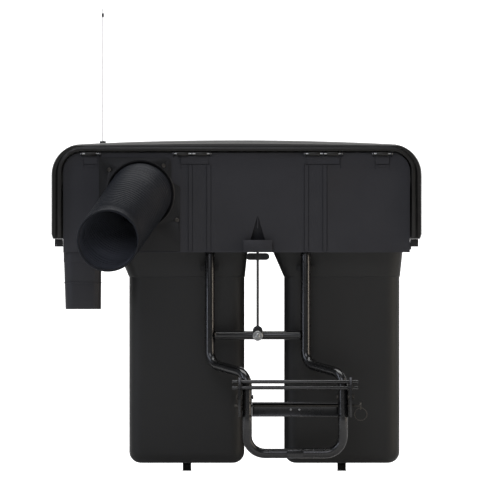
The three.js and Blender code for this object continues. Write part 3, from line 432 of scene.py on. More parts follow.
bin_corner = 34 * mm
bin_foot = 26 * mm
bin_wall = 4 * mm
shoulder_drop = 95 * mm
flare_left = 42 * mm
flare_right = 11 * mm
shoulder_step = 1.6 * mm
for side in ("left", "right"):
    low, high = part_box(side + "_bin_shell")
    lip_low, lip_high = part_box(side + "_bin_rim")
    west, east = low.x + flare_left, high.x - flare_right
    south, north = low.y + flare_right, high.y - flare_right
    shoulder = high.z - shoulder_drop
    middle = Vector(((west + east) / 2, (south + north) / 2, (low.z + shoulder) / 2))
    bpy.ops.mesh.primitive_cube_add(size=1, location=middle,
                                    scale=(east - west, north - south, shoulder - low.z))
    tub = settle(side + "_bin_tub")
    work_on(tub, "DESELECT")
    select_where(tub, "FACE", lambda place: place.z > shoulder - mm)
    bpy.ops.mesh.delete(type="FACE")
    bpy.ops.object.mode_set(mode="OBJECT")
    weights = tub.data.attributes.new("bevel_weight_edge", "FLOAT", "EDGE")
    for edge in tub.data.edges:
        ends = [tub.data.vertices[i].co for i in edge.vertices]
        weights.data[edge.index].value = 1.0 if abs(ends[0].z - ends[1].z) > mm else 0.0
    use(tub, "BEVEL", width=bin_corner, segments=8, limit_method="WEIGHT")
    weights = tub.data.attributes.get("bevel_weight_edge")
    for edge in tub.data.edges:
        ends = [tub.data.vertices[i].co for i in edge.vertices]
        weights.data[edge.index].value = 1.0 if max(end.z for end in ends) < low.z + mm else 0.0
    use(tub, "BEVEL", width=bin_foot, segments=7, limit_method="WEIGHT")
    work_on(tub, "DESELECT")
    select_where(tub, "EDGE", lambda place: place.z > shoulder - mm)
    lip_x, lip_y = lip_high.x - high.x, lip_high.y - high.y
    levels = (
        (shoulder + 1.2 * mm, shoulder_step, shoulder_step, shoulder_step),
        (high.z - mm, flare_left, flare_right, flare_right),
        (high.z, flare_left + lip_x - mm, flare_right + lip_x - mm, flare_right + lip_y - mm),
        (lip_low.z, flare_left + lip_x, flare_right + lip_x, flare_right + lip_y),
    )
    before = (0, 0, 0)
    for level, *now in levels:
        bpy.ops.mesh.extrude_region_move()
        bpy.ops.object.mode_set(mode="OBJECT")
        for vertex in tub.data.vertices:
            if vertex.select:
                leftwards = vertex.co.x < middle.x
                rearwards = vertex.co.y > middle.y
                vertex.co.x += before[0] - now[0] if leftwards else now[1] - before[1]
                vertex.co.y += now[2] - before[2] if rearwards else before[2] - now[2]
                vertex.co.z = level
        before = now
        bpy.ops.object.mode_set(mode="EDIT")
    bpy.ops.mesh.select_all(action="SELECT")
    bpy.ops.mesh.remove_doubles(threshold=0.005 * mm)
    bpy.ops.mesh.normals_make_consistent(inside=False)
    bpy.ops.object.mode_set(mode="OBJECT")
    use(tub, "SOLIDIFY", thickness=bin_wall, offset=-1, use_even_offset=True)
    round_edges(tub, 1.1 * mm, 2, 25)
    hand_over(tub, bin_plastic, side + "_bin", "bin_plastic", side + "_bin_shell", side + "_bin_rim",
              sharp=40)
    grip = softened(side + "_bin_grip", side + "_bin_grip_edged", 1.6 * mm, 3)
    hand_over(grip, bin_plastic, side + "_bin", "bin_plastic", side + "_bin_grip")

# ---- Front panel -------------------------------------------------------------------------------------
# One injection moulding, 3 mm thick, with hinge ears along its top edge. Each hinge row stands on a raised
# pad, shallow ribs between grooves run down to the lower edge, and a pointed pocket stands over the latch.


def bar(name, low, high):
    """A plain block between two corners, to be joined to or cut from another piece"""
    low, high = Vector(low), Vector(high)
    bpy.ops.mesh.primitive_cube_add(size=1, location=(low + high) / 2, scale=high - low)
    return settle(name)


def weld_on(piece, *parts):
    """Joins other solids to a piece and merges them into one skin"""
    for part in parts:
        use(piece, "BOOLEAN", object=part, operation="UNION", solver="EXACT")
        bpy.data.objects.remove(part)
    return piece


# Textured ABS: fine spark-eroded grain that breaks the highlight up, slightly purplish where it is lit
panel_plastic = finish("injection_moulded_black_abs", "#242427", "#2b2b2e", 90 * mm, 1.1 * mm, 0.012 * mm,
                       (0.44, 0.58), IOR=1.54, **{"Specular IOR Level": 0.25})

panel_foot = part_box("front_panel")[0].z
plate_front = 80 * mm
plate_sunk = plate_front + mm
bin_gap_x = -97 * mm
inlet = Vector((-403 * mm, 0, 557 * mm))
opening_radius = 85.4 * mm
opening = (inlet + Vector((0, 60 * mm, 0)), inlet + Vector((0, 100 * mm, 0)), opening_radius, 96)
front_panel = merged("front_panel", "front_panel_ribbed")
cut(front_panel, pole(*opening))

rib_foot = panel_foot + 4 * mm
rib_offsets = (127 * mm, 175 * mm)
rib_half = 4.5 * mm
rib_front = plate_front - 1.7 * mm
pad_foot, pad_top = 637 * mm, 657 * mm
pad_front = plate_front - 2.6 * mm
pad_inner = 129 * mm
pad_outers = {-1: 201 * mm, 1: 212 * mm}
side_pad_xs = (-531.5 * mm, 227.5 * mm)
side_pad_half = 17.5 * mm
tongue_half = 9 * mm
ribs = []
for side in (-1, 1):
    for offset in rib_offsets:
        x = bin_gap_x + side * offset
        ribs.append(bar("rib", (x - rib_half, rib_front, rib_foot),
                        (x + rib_half, plate_sunk, pad_foot + mm)))
    inner, outer = bin_gap_x + side * pad_inner, bin_gap_x + side * pad_outers[side]
    ribs.append(bar("pad", (min(inner, outer), pad_front, pad_foot),
                    (max(inner, outer), plate_sunk, pad_top)))
for x in side_pad_xs:
    ribs.append(bar("side_pad", (x - side_pad_half, pad_front, pad_foot),
                    (x + side_pad_half, plate_sunk, pad_top)))
    ribs.append(bar("side_pad_foot", (x - tongue_half, plate_front - 1.6 * mm, pad_foot - 9 * mm),
                    (x + tongue_half, plate_sunk, pad_foot + mm)))
weld_on(front_panel, *ribs)

groove_start = plate_front - 3 * mm
groove_floor = plate_front + 1.8 * mm
groove_half = 0.9 * mm
groove_lows, groove_highs = pad_foot - 2.6 * mm, pad_foot - 0.2 * mm
grooves = []
for side in (-1, 1):
    for offset in rib_offsets:
        for edge in (-5.4 * mm, 5.4 * mm):
            x = bin_gap_x + side * offset + edge
            grooves.append(bar("groove", (x - groove_half, groove_start, rib_foot),
                               (x + groove_half, groove_floor, pad_foot - 2 * mm)))
    near, far = bin_gap_x + side * 125 * mm, bin_gap_x + side * (199 * mm if side < 0 else 214 * mm)
    grooves.append(bar("groove", (min(near, far), groove_start, groove_lows),
                       (max(near, far), groove_floor, groove_highs)))
    far = bin_gap_x + side * (200 * mm if side < 0 else 216 * mm)
    grooves.append(bar("groove", (far - mm, groove_start, pad_foot - 12 * mm),
                       (far + mm, groove_floor, pad_top)))
for x in side_pad_xs:
    grooves.append(bar("groove", (x - 19 * mm, groove_start, groove_lows),
                       (x + 19 * mm, groove_floor, groove_highs)))
    for edge in (-18.5 * mm, 18.5 * mm):
        grooves.append(bar("groove", (x + edge - mm, groove_start, pad_foot - 14 * mm),
                           (x + edge + mm, groove_floor, pad_top)))
cut(front_panel, *grooves)

pocket_half = 19 * mm
pocket_foot, pocket_top = 439 * mm, 500 * mm


def pocket(name, grow, front):
    """A pointed pocket that gets wider and deeper downwards"""
    piece = bar(name, (bin_gap_x - pocket_half - grow, front, pocket_foot - grow),
                (bin_gap_x + pocket_half + grow, 104 * mm + grow, pocket_top + 2 * grow))
    for vertex in piece.data.vertices:
        if vertex.co.z > pocket_top - mm:
            vertex.co.x = bin_gap_x + math.copysign(1.5 * mm + grow, vertex.co.x - bin_gap_x)
            vertex.co.y = min(vertex.co.y, 84 * mm + grow)
    return piece


weld_on(front_panel, pocket("pocket", 2.5 * mm, 82 * mm))
cut(front_panel, pocket("hollow", 0, 76 * mm))
weld_on(front_panel, bar("pocket_rib", (bin_gap_x - 1.2 * mm, 81 * mm, 470 * mm),
                         (bin_gap_x + 1.2 * mm, 86 * mm, pocket_top - mm)))
use(front_panel, "TRIANGULATE")
round_edges(front_panel, 0.5 * mm, 2, 40)
hand_over(front_panel, panel_plastic, "frame", "panel_plastic", "front_panel")

hinge_rows = ("left_main", "right_main", "left_side", "right_side")
hinge_pin_radius = 2.5 * mm
for hinge in hinge_rows:
    low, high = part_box(hinge + "_hinge_pin")
    middle = (low + high) / 2
    pin = pole(Vector((low.x, middle.y, middle.z)), Vector((high.x, middle.y, middle.z)), hinge_pin_radius,
               32, hinge + "_pin")
    round_edges(pin, 0.6 * mm, 3, 60)
    hand_over(pin, zinc_plate, "frame", "zinc", hinge + "_hinge_pin")

# ---- Hose adapter ------------------------------------------------------------------------------------
# A stepped plate of the same ABS is screwed over the panel's opening with three black-passivated screws. A
# bead runs round its hole, and a collar behind the panel carries the hose on a spigot.

# The same ABS from a polished mould: darker to the eye, because less light scatters off it
adapter_plastic = finish("polished_injection_moulded_black_abs", "#1e1e1e", "#242424", 60 * mm, 1.1 * mm,
                         0.008 * mm, (0.34, 0.46), IOR=1.54, **{"Specular IOR Level": 0.15})

adapter = merged("adapter_plate", "adapter_plate_beaded")
adapter_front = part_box("adapter_plate")[0].y
cut(adapter, pole(*opening))
bpy.ops.mesh.primitive_torus_add(location=inlet + Vector((0, adapter_front + 0.6 * mm, 0)),
                                 rotation=(math.radians(90), 0, 0), major_segments=96, minor_segments=10,
                                 major_radius=opening_radius + 2.8 * mm, minor_radius=2.2 * mm)
weld_on(adapter, settle("adapter_bead"))
round_edges(adapter, 0.8 * mm, 2, 50)
hand_over(adapter, adapter_plastic, "frame", "panel_plastic", "adapter_plate")

slot_reach = 3.4 * mm
slot_half = 0.6 * mm
slot_depth = 1.3 * mm
for node in ("adapter_screw_1", "adapter_screw_2", "adapter_screw_3"):
    low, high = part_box(node)
    middle = (low + high) / 2
    screw = merged(node, node + "_crossed")
    cut(
        screw,
        bar("slot", (middle.x - slot_reach, low.y - mm, middle.z - slot_half),
            (middle.x + slot_reach, low.y + slot_depth, middle.z + slot_half)),
        bar("slot", (middle.x - slot_half, low.y - mm, middle.z - slot_reach),
            (middle.x + slot_half, low.y + slot_depth, middle.z + slot_reach)),
    )
    round_edges(screw, 0.3 * mm, 2, 50)
    hand_over(screw, black_zinc, "frame", "zinc", node)

hand_over(softened("inlet_collar", "inlet_collar_turned", 0.6 * mm), panel_plastic, "frame", "panel_plastic",
          "inlet_collar")

# ---- Inlet hose --------------------------------------------------------------------------------------
# A 150 mm corrugated duct of soft PVC, wound in close ribs under 7 mm apart, with a plain cuff at its
# mouth. It leaves the collar straight, drops to the left in an S and ends straight again.


def rolled(name, columns, rows, place):
    """A sheet of rows and columns laid out by a rule, its meeting edges merged"""
    bpy.ops.mesh.primitive_grid_add(x_subdivisions=columns, y_subdivisions=rows, size=1)
    piece = settle(name)
    for vertex in piece.data.vertices:
        vertex.co = place(round((vertex.co.x + 0.5) * columns), round((vertex.co.y + 0.5) * rows))
    work_on(piece)
    bpy.ops.mesh.remove_doubles(threshold=0.005 * mm)
    bpy.ops.mesh.normals_make_consistent(inside=False)
    bpy.ops.object.mode_set(mode="OBJECT")
    return piece


# Plasticised PVC: bluish black, satin, with a waxy bloom in slow patches along the ribs
hose_plastic = finish("extruded_flexible_pvc", "#121418", "#1a1c21", 70 * mm, 1.6 * mm, 0.012 * mm,
                      (0.45, 0.6), IOR=1.53, **{"Specular IOR Level": 0.13})

hose_bore, hose_outer = 75 * mm, 81.5 * mm
hose_start = inlet + Vector((0, 104 * mm, 0))
swing_start = inlet + Vector((0, 60 * mm, 0))
hose_mouth = inlet + Vector((-82 * mm, -165 * mm, -119 * mm))
swing_end = hose_mouth + Vector((0, 30 * mm, 0))
swing_reach = (swing_start.y - swing_end.y) * 0.38
swing_steps = 40
hose_line = [hose_start]
for i in range(swing_steps + 1):
    share = i / swing_steps
    hose_line.append(
        swing_start * (1 - share) ** 3
        + (swing_start - Vector((0, swing_reach, 0))) * 3 * share * (1 - share) ** 2
        + (swing_end + Vector((0, swing_reach, 0))) * 3 * share * share * (1 - share)
        + swing_end * share ** 3
    )
hose_line.append(hose_mouth)
hose_steps = [(b - a).length for a, b in zip(hose_line, hose_line[1:])]
hose_length = sum(hose_steps)


def hose_place(travel):
    """The point on the hose's middle line after a length of travel, and the way it runs there"""
    left = travel
    for a, b, step in zip(hose_line, hose_line[1:], hose_steps):
        if left <= step or b is hose_line[-1]:
            return a.lerp(b, left / step), (b - a).normalized()
        left -= step


rib_pitch = 6.6 * mm
outer_groove = 1.5 * mm
inner_groove = 3 * mm
cuff = 16 * mm
neck = 36 * mm
neck_radius = hose_outer - 2.6 * mm
hose_sides = 72
ribbed_length = hose_length - cuff - neck
rib_count = round(ribbed_length / rib_pitch)
rib_rows = 6 * rib_count
hose_profile = [(0, neck_radius), (neck - 3 * mm, neck_radius), (neck - 2 * mm, hose_outer - 0.6 * mm)]
for i in range(rib_rows + 1):
    travel = neck + ribbed_length * i / rib_rows
    groove = abs(math.cos(math.pi * i / 6)) ** 3
    hose_profile.append((travel, hose_outer - outer_groove * groove))
# Rows up to here keep the dark outer finish; the last of them, just inside the mouth, are a band of painted
# shade
outer_and_painted_shade_rows = len(hose_profile) + 6
hose_profile += [(hose_length - cuff + 1.5 * mm, hose_outer), (hose_length - 2.4 * mm, hose_outer),
                 (hose_length - 0.8 * mm, hose_outer - 0.7 * mm), (hose_length, hose_outer - 2.6 * mm),
                 (hose_length, hose_bore + 2.2 * mm), (hose_length - 1.2 * mm, hose_bore + 0.6 * mm),
                 (hose_length - 3 * mm, hose_bore)]
for i in range(rib_rows, -1, -1):
    travel = neck + ribbed_length * i / rib_rows
    groove = abs(math.sin(math.pi * i / 6)) ** 1.6
    hose_profile.append((travel, hose_bore + inner_groove * groove))
hose_profile.append((0, hose_bore))
hose_profile.append(hose_profile[0])


def hose_surface(column, row):
    """A point on the hose's skin"""
    travel, radius = hose_profile[row]
    centre, along = hose_place(travel)
    aside = along.cross(Vector((0, 0, 1))).normalized()
    turn = math.tau * column / hose_sides
    return centre + aside * radius * math.cos(turn) + aside.cross(along) * radius * math.sin(turn)


hose = rolled("inlet_hose_ribbed", hose_sides, len(hose_profile) - 1, hose_surface)
hand_over(hose, hose_plastic, "frame", "hose_plastic", "inlet_hose", sharp=60)

# The inside of the same tube: greyer and dull, and coloured far lighter than the outside as painted light,
# standing for light that reaches down the bore
hose_inside_painted_light = finish("inner_face_of_flexible_pvc_with_painted_light", "#3c3f46", "#4a4d55", 50 * mm, 2 * mm, 0.02 * mm,
                    (0.6, 0.75), IOR=1.53, **{"Specular IOR Level": 0.3})
hose.data.materials.append(hose_inside_painted_light)
# The lighter inside finish starts a little way into the bore: the lip and the first row inside keep the dark
# outer finish, a band of painted shade just inside the mouth
for face in hose.data.polygons:
    if face.index // hose_sides > outer_and_painted_shade_rows:
        face.material_index = 1

# ---- Exhaust duct ------------------------------------------------------------------------------------
# Two blow-moulded lengths of rounded square duct under the panel's left corner. The lower sleeve slips
# over the upper length, and both narrow slightly towards the open bottom.

duct_top_step = 382 * mm
duct_corner = 26 * mm
duct_wall = 3 * mm
taper_start = 407 * mm
taper_length = 148 * mm
left_taper, right_taper = 5 * mm, 1 * mm
step_in = 1.1 * mm
crease_left, crease_right = -516 * mm, -510.5 * mm
for node in ("exhaust_duct", "duct_sleeve"):
    low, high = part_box(node)
    if node == "duct_sleeve":
        high.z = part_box("exhaust_duct")[0].z
    bpy.ops.mesh.primitive_cube_add(size=1, location=(low + high) / 2, scale=high - low)
    duct = settle(node + "_blown")
    work_on(duct, "DESELECT")
    select_where(duct, "FACE", lambda place: place.z > high.z - mm)
    bpy.ops.mesh.delete(type="FACE")
    select_where(duct, "FACE", lambda place: place.z < low.z + mm)
    bpy.ops.mesh.delete(type="FACE")
    bpy.ops.object.mode_set(mode="OBJECT")
    round_edges(duct, duct_corner, 8, 60)
    seam_z = duct_top_step if node == "exhaust_duct" else high.z - 4 * mm
    seams = (seam_z - mm, seam_z)
    for level in seams:
        work_on(duct)
        bpy.ops.mesh.bisect(plane_co=(0, 0, level), plane_no=(0, 0, 1))
        bpy.ops.object.mode_set(mode="OBJECT")
    middle = (low + high) / 2
    for vertex in duct.data.vertices:
        share = min(1, max(0, (taper_start - vertex.co.z) / taper_length))
        if vertex.co.x < middle.x:
            vertex.co.x += left_taper * share
        else:
            vertex.co.x -= right_taper * share
        if vertex.co.z < seams[0] + 0.5 * mm:
            away = Vector((vertex.co.x - middle.x, vertex.co.y - middle.y, 0)).normalized()
            vertex.co -= away * step_in
    work_on(duct)
    bpy.ops.mesh.normals_make_consistent(inside=False)
    bpy.ops.object.mode_set(mode="OBJECT")
    use(duct, "SOLIDIFY", thickness=duct_wall, offset=-1, use_even_offset=True)
    cut(duct, bar("crease", (crease_left, low.y - mm, low.z - mm),
                  (crease_right, low.y + 7 * mm, high.z + mm)))
    round_edges(duct, 0.5 * mm, 2, 50)
    hand_over(duct, panel_plastic, "frame", "panel_plastic", node)

# ---- Latch -------------------------------------------------------------------------------------------
# A painted steel rod slides in a guide boss on the cross tube and in a keeper on the panel. It is pulled
# down by a moulded grip against a small coil spring. The boss is held by a domed zinc bolt with a washer.

keeper = softened("latch_keeper", "latch_keeper_edged", 0.8 * mm)
hand_over(keeper, panel_plastic, "frame", "panel_plastic", "latch_keeper")
rod_guide = softened("rod_guide", "rod_guide_edged", 1 * mm, 3)
hand_over(rod_guide, powder_coat, "frame", "black_paint", "rod_guide")

bolt_low, bolt_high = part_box("guide_bolt")
bolt_middle = (bolt_low + bolt_high) / 2
bolt_length = (bolt_high.y - bolt_low.y) / mm
# Each step gives the radius and the depth in millimetres: domed head, washer, shank
bolt_profile = [(0, 0), (2.6, 0.1), (4.6, 0.7), (6.1, 1.9), (6.8, 3.2), (7, 4.6), (7, 6.5)]
bolt_profile += [(8.2, 6.5), (8.2, 5.9), (12.4, 5.9), (13, 6.5), (13, 8)]
bolt_profile += [(4, 8), (4, bolt_length - 0.8), (3.2, bolt_length), (0, bolt_length)]
bolt_sides = 48


def bolt_surface(column, row):
    """A point on the bolt, turned about its own line"""
    radius, depth = bolt_profile[row]
    turn = math.tau * column / bolt_sides
    return Vector((bolt_middle.x + radius * mm * math.cos(turn), bolt_low.y + depth * mm,
                   bolt_middle.z + radius * mm * math.sin(turn)))


guide_bolt = rolled("guide_bolt_domed", bolt_sides, len(bolt_profile) - 1, bolt_surface)
socket = pole(Vector((bolt_middle.x, bolt_low.y - mm, bolt_middle.z)),
              Vector((bolt_middle.x, bolt_low.y + 3.5 * mm, bolt_middle.z)), 3.2 * mm, 6)
cut(guide_bolt, socket)
hand_over(guide_bolt, zinc_plate, "frame", "zinc", "guide_bolt")

rod_low, rod_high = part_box("latch_rod")
latch_middle = (rod_low + rod_high) / 2
rod_foot = Vector((latch_middle.x, latch_middle.y, rod_low.z))
rod_top = Vector((latch_middle.x, latch_middle.y, rod_high.z))
rod_radius = 3.3 * mm
rod_head_radius = 7.5 * mm
rod_head_height = Vector((0, 0, 3 * mm))
latch_rod = pole(rod_foot, rod_top, rod_radius, 32, "latch_rod_headed")
weld_on(latch_rod, pole(rod_top - rod_head_height, rod_top, rod_head_radius, 32))
round_edges(latch_rod, 0.6 * mm, 2, 50)
hand_over(latch_rod, powder_coat, "latch", "black_paint", "latch_rod")

latch_grip = merged("latch_grip", "latch_grip_grooved")
grip_low, grip_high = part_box("latch_grip")
groove_pitch = 5 * mm
finger_grooves = [
    bar("groove", (x - 1.1 * mm, grip_low.y - mm, grip_low.z - mm),
        (x + 1.1 * mm, grip_low.y + 1.2 * mm, grip_high.z + mm))
    for x in [latch_middle.x + side * k * groove_pitch for side in (-1, 1) for k in (2, 3, 4)]
]
cut(latch_grip, *finger_grooves)
round_edges(latch_grip, 0.7 * mm, 2, 40)
hand_over(latch_grip, grip_rubber, "latch", "grip_rubber", "latch_grip")

spring_low, spring_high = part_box("latch_spring")
spring_wire = 0.8 * mm
spring_radius = 6.5 * mm
spring_turns = 6
spring_rows = spring_turns * 28
spring_sides = 10
spring_rise = spring_high.z - spring_low.z - 2 * spring_wire


def spring_surface(column, row):
    """A point on the coil's wire"""
    share = row / spring_rows
    turn = math.tau * spring_turns * share
    outwards = Vector((math.cos(turn), math.sin(turn), 0))
    height = spring_low.z + spring_wire + spring_rise * share
    centre = Vector((latch_middle.x, latch_middle.y, height)) + outwards * spring_radius
    around = math.tau * column / spring_sides
    return centre + outwards * spring_wire * math.cos(around) + Vector((0, 0, spring_wire * math.sin(around)))


spring = rolled("latch_spring_coiled", spring_sides, spring_rows, spring_surface)
work_on(spring)
close_up()
hand_over(spring, zinc_plate, "latch", "zinc", "latch_spring")
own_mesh(spring)

# ---- Hood --------------------------------------------------------------------------------------------
# A single vacuum-formed shell: a crowned top that slopes down to the rear, round corners and a front edge
# rolled to a straight line. An inner rim is welded inside the front edge, with the hinge knuckles on it.

# Vacuum-formed ABS sheet: smooth satin, long soft highlights, warm black, hair-fine relief
hood_plastic = finish("vacuum_formed_black_abs_sheet", "#181715", "#1f1e1b", 150 * mm, 2.5 * mm, 0.01 * mm,
                      (0.3, 0.4), IOR=1.54, **{"Specular IOR Level": 0.28})

hood_low, hood_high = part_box("hood_shell")
hood_x = (hood_low.x + hood_high.x) / 2
hood_half = (hood_high.x - hood_low.x) / 2
hood_depth = hood_high.y - hood_low.y
hood_skirt = hood_low.z
hood_height = 257 * mm
hood_crown = 10 * mm
hood_edge = hood_skirt + 243 * mm
hood_corner = 80 * mm
hood_rear = 90 * mm
hood_shoulder = 34 * mm
hood_wall = 4 * mm
rolled_edge = 3 * mm
rear_slope = 0.14
skirt_chamfer = 4 * mm

side_steps = 5
corner_steps = 12
crown_steps = 16
arch_top = hood_skirt + hood_height - hood_crown
arch_line = [(-hood_half + skirt_chamfer, hood_skirt), (-hood_half, hood_skirt + 3 * skirt_chamfer)]
for i in range(1, side_steps + 1):
    rise = (hood_height - hood_crown - hood_corner) * i / side_steps
    arch_line.append((-hood_half, hood_skirt + rise))
for i in range(1, corner_steps + 1):
    turn = math.pi / 2 * i / corner_steps
    arch_line.append((-hood_half + hood_corner * (1 - math.cos(turn)),
                      arch_top - hood_corner + hood_corner * math.sin(turn)))
left_side = arch_line[:-1]
for i in range(1, crown_steps + 1):
    across = i / crown_steps
    arch_line.append(((hood_half - hood_corner) * (across - 0.5) * 2,
                      arch_top + 4 * hood_crown * across * (1 - across)))
arch_line += [(-x, z) for x, z in left_side[::-1]]

# Each station has its depth, how far the arch is drawn in, and how flat its edge is
shoulder_steps = 8
flat_steps = 10
rear_steps = 12
hood_stations = []
for i in range(shoulder_steps + 1):
    turn = math.pi / 2 * i / shoulder_steps
    hood_stations.append((hood_low.y + hood_shoulder * (1 - math.cos(turn)), 0, 1 - math.sin(turn)))
round_start = hood_high.y - hood_rear
flat_length = round_start - hood_low.y - hood_shoulder
for i in range(1, flat_steps):
    hood_stations.append((hood_low.y + hood_shoulder + flat_length * i / flat_steps, 0, 0))
for i in range(rear_steps + 1):
    turn = math.pi / 2 * i / rear_steps
    hood_stations.append((round_start + hood_rear * math.sin(turn), hood_rear * (1 - math.cos(turn)), 0))

# The walls run from the rear to the front edge on the outside, and back again on the inside
hood_walls = [(station, 0, 0) for station in hood_stations[::-1]]
inner_stations = [(hood_low.y, 0, 1), (hood_low.y + 4 * mm, 0, 0.6), (hood_low.y + 11 * mm, 0, 0.3)]
hood_walls += [(station, 2 * hood_wall, hood_wall) for station in inner_stations]
hood_walls += [((hood_low.y + 11.5 * mm, 0, 0.29), hood_wall, hood_wall)]
for depth, retreat, edge in hood_stations[shoulder_steps:]:
    rear_wall = hood_wall * retreat / hood_rear
    hood_walls.append(((depth - rear_wall, retreat, edge), hood_wall, hood_wall))


def hood_surface(column, row):
    """A point on the hood's skin: the arch at one station, drawn in and lowered as the station says"""
    x, z = arch_line[column]
    (depth, retreat, edge), side_wall, top_wall = hood_walls[row]
    if side_wall and abs(x) > hood_half - 2 * skirt_chamfer and z < hood_skirt + 4 * skirt_chamfer:
        x = math.copysign(hood_half, x)
    wide = (hood_half - retreat - side_wall - edge * rolled_edge) / hood_half
    height = hood_height - top_wall
    level = hood_skirt + (z - hood_skirt) * height / hood_height
    level += edge * (min(level, hood_edge - top_wall) - level)
    rise = level - hood_skirt
    fall = 1 - rear_slope * ((depth - hood_low.y) / hood_depth) ** 2
    squeeze = (hood_height - retreat) / hood_height
    return Vector((hood_x + x * wide, depth, hood_skirt + rise * fall * squeeze))


hood = rolled("hood_shell_formed", len(arch_line) - 1, len(hood_walls) - 1, hood_surface)
work_on(hood, "DESELECT")
for rear in (hood_high.y, hood_high.y - hood_wall):
    select_where(hood, "EDGE", lambda place: abs(place.y - rear) < 0.01 * mm)
    bpy.ops.mesh.edge_face_add()
close_up()
grommet_low, grommet_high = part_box("wire_grommet")
wire_x, wire_y = (grommet_low.x + grommet_high.x) / 2, (grommet_low.y + grommet_high.y) / 2
grommet_hole = 8.3 * mm
cut(hood, pole(Vector((wire_x, wire_y, 620 * mm)), Vector((wire_x, wire_y, 760 * mm)), grommet_hole))
hand_over(hood, hood_plastic, "hood", "hood_plastic", "hood_shell", sharp=40)

inner_rim = softened("hood_inner_rim", "hood_inner_rim_edged", 0.5 * mm)
hand_over(inner_rim, hood_plastic, "hood", "hood_plastic", "hood_inner_rim")
for hinge in hinge_rows:
    node = hinge + "_knuckle"
    hand_over(softened(node, node + "_edged", 0.6 * mm), hood_plastic, "hood", "hood_plastic", node)

# ---- Marker wire and rear handle ---------------------------------------------------------------------
# A thin sprung steel wire stands in a rubber grommet in the hood, with a small bead near its tip. The
# handle at the rear is a bent bar dipped in rubber.

grommet = softened("wire_grommet", "wire_grommet_edged", 1.2 * mm, 3)
hand_over(grommet, grip_rubber, "hood", "grip_rubber", "wire_grommet")
wire_low, wire_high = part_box("marker_wire")
marker_radius = 1.2 * mm
marker = pole(Vector((wire_x, wire_y, wire_low.z)), Vector((wire_x, wire_y, wire_high.z)), marker_radius, 16,
              "marker_wire_drawn")
round_edges(marker, 0.8 * mm, 3, 60)
hand_over(marker, zinc_plate, "hood", "zinc", "marker_wire")
hand_over(softened("wire_bead", "wire_bead_edged", 0.4 * mm), grip_rubber, "hood", "grip_rubber", "wire_bead")

handle_low, handle_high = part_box("hood_handle")
handle_radius = (handle_high.z - handle_low.z) / 2
handle_bend = 24 * mm
handle_z = (handle_low.z + handle_high.z) / 2
handle_left, handle_right = handle_low.x + handle_radius, handle_high.x - handle_radius
handle_rear = handle_high.y - handle_radius
handle_line = [
    Vector((handle_left, handle_low.y, handle_z)),
    Vector((handle_left, handle_rear, handle_z)),
    Vector((handle_right, handle_rear, handle_z)),
    Vector((handle_right, handle_low.y, handle_z)),
]
handle = ring("hood_handle_bent", handle_line[0], (0, 1, 0), handle_radius, 32)
pull(handle_line, handle_bend, 10)
close_up()
round_edges(handle, 0.8 * mm, 2, 60)
hand_over(handle, grip_rubber, "hood", "grip_rubber", "hood_handle")

# ---- Studio ------------------------------------------------------------------------------------------
# A level camera with a long lens stands square to the collector's front. The floor and backdrop are plain
# white, under a wide overhead softbox, a weaker front light and a strip at each side.


def stage_card(name, location, size, rotation, glow):
    """A plain pale card that glows a little and stays white to the eye; from behind it is clear"""
    bpy.ops.mesh.primitive_plane_add(size=1, location=location, rotation=rotation)
    bpy.context.object.scale = (*size, 1)
    card = settle(name)
    paper = bpy.data.materials.new(name + "_paper")
    paper.use_nodes = True
    paper.node_tree.nodes.clear()
    seen = add(paper, "ShaderNodeLightPath", {}).outputs["Is Camera Ray"]
    shine = add(paper, "ShaderNodeMapRange", {"Value": seen, "To Min": glow, "To Max": 1.0})
    base = add(paper, "ShaderNodeBsdfPrincipled",
               {"Base Color": colour("#d8d8d8"), "Roughness": 0.9, "Emission Color": colour("#ffffff"),
                "Emission Strength": shine.outputs[0]})
    behind = add(paper, "ShaderNodeNewGeometry", {}).outputs["Backfacing"]
    clear = add(paper, "ShaderNodeBsdfTransparent", {})
    both = add(paper, "ShaderNodeMixShader", {0: behind, 1: base.outputs[0], 2: clear.outputs[0]})
    add(paper, "ShaderNodeOutputMaterial", {"Surface": both.outputs[0]})
    card.data.materials.append(paper)


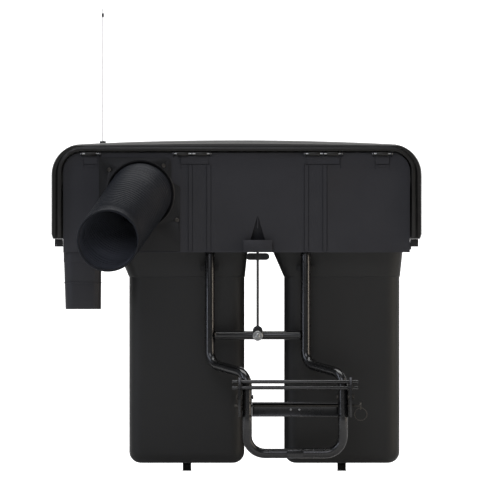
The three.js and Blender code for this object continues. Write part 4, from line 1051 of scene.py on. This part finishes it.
floor_z = cad_box[0].z - 0.5 * mm
stage_card("floor", (-0.15, 0, floor_z), (16, 16), (0, 0, 0), 0.1)
stage_card("backdrop", (-0.15, 4.2, 2.5), (16, 8), (math.radians(90), 0, 0), 0.8)

camera_data = bpy.data.cameras.new("camera")
camera = bpy.data.objects.new("camera", camera_data)
bpy.context.scene.collection.objects.link(camera)
bpy.context.scene.camera = camera
view_width = 1.248
view_middle = Vector((-0.143, 0.05, 0.439))
distance = 60.0
camera_data.lens = camera_data.sensor_width * distance / view_width
camera.location = view_middle - Vector((0, distance, 0))
camera.rotation_euler = (math.radians(90), 0, 0)
camera_data.clip_end = 200


def soft_light(name, place, towards, size, power, tint="#ffffff"):
    """A square softbox that faces a point"""
    lamp = bpy.data.lights.new(name, "AREA")
    lamp.shape = "RECTANGLE"
    lamp.size, lamp.size_y = size
    lamp.energy = power
    lamp.color = colour(tint)[:3]
    box = bpy.data.objects.new(name, lamp)
    bpy.context.scene.collection.objects.link(box)
    box.location = place
    box.rotation_euler = (Vector(towards) - Vector(place)).to_track_quat("-Z", "Y").to_euler()


soft_light("overhead", (-0.15, 0.2, 3.2), (-0.15, 0.2, 0.4), (3.0, 2.4), 105)
soft_light("front", (-0.9, -4.5, 2.8), (-0.15, 0, 0.4), (2.6, 1.8), 56, "#f0f1fc")
soft_light("left_strip", (-3.2, -1.6, 1.2), (-0.15, 0, 0.4), (0.9, 2.4), 26, "#e6ecff")
soft_light("right_strip", (3.2, -0.8, 1.0), (-0.15, 0, 0.4), (1.1, 2.4), 42, "#ffefdc")

world = bpy.data.worlds.new("studio_air")
bpy.context.scene.world = world
world.use_nodes = True
air = world.node_tree.nodes["Background"]
air.inputs["Color"].default_value = colour("#f2f4f8")
seen = add(world, "ShaderNodeLightPath", {}).outputs["Is Camera Ray"]
glow = add(world, "ShaderNodeMapRange", {"Value": seen, "To Min": 0.16, "To Max": 1.15})
world.node_tree.links.new(glow.outputs[0], air.inputs["Strength"])
bpy.context.scene.view_settings.view_transform = "Standard"
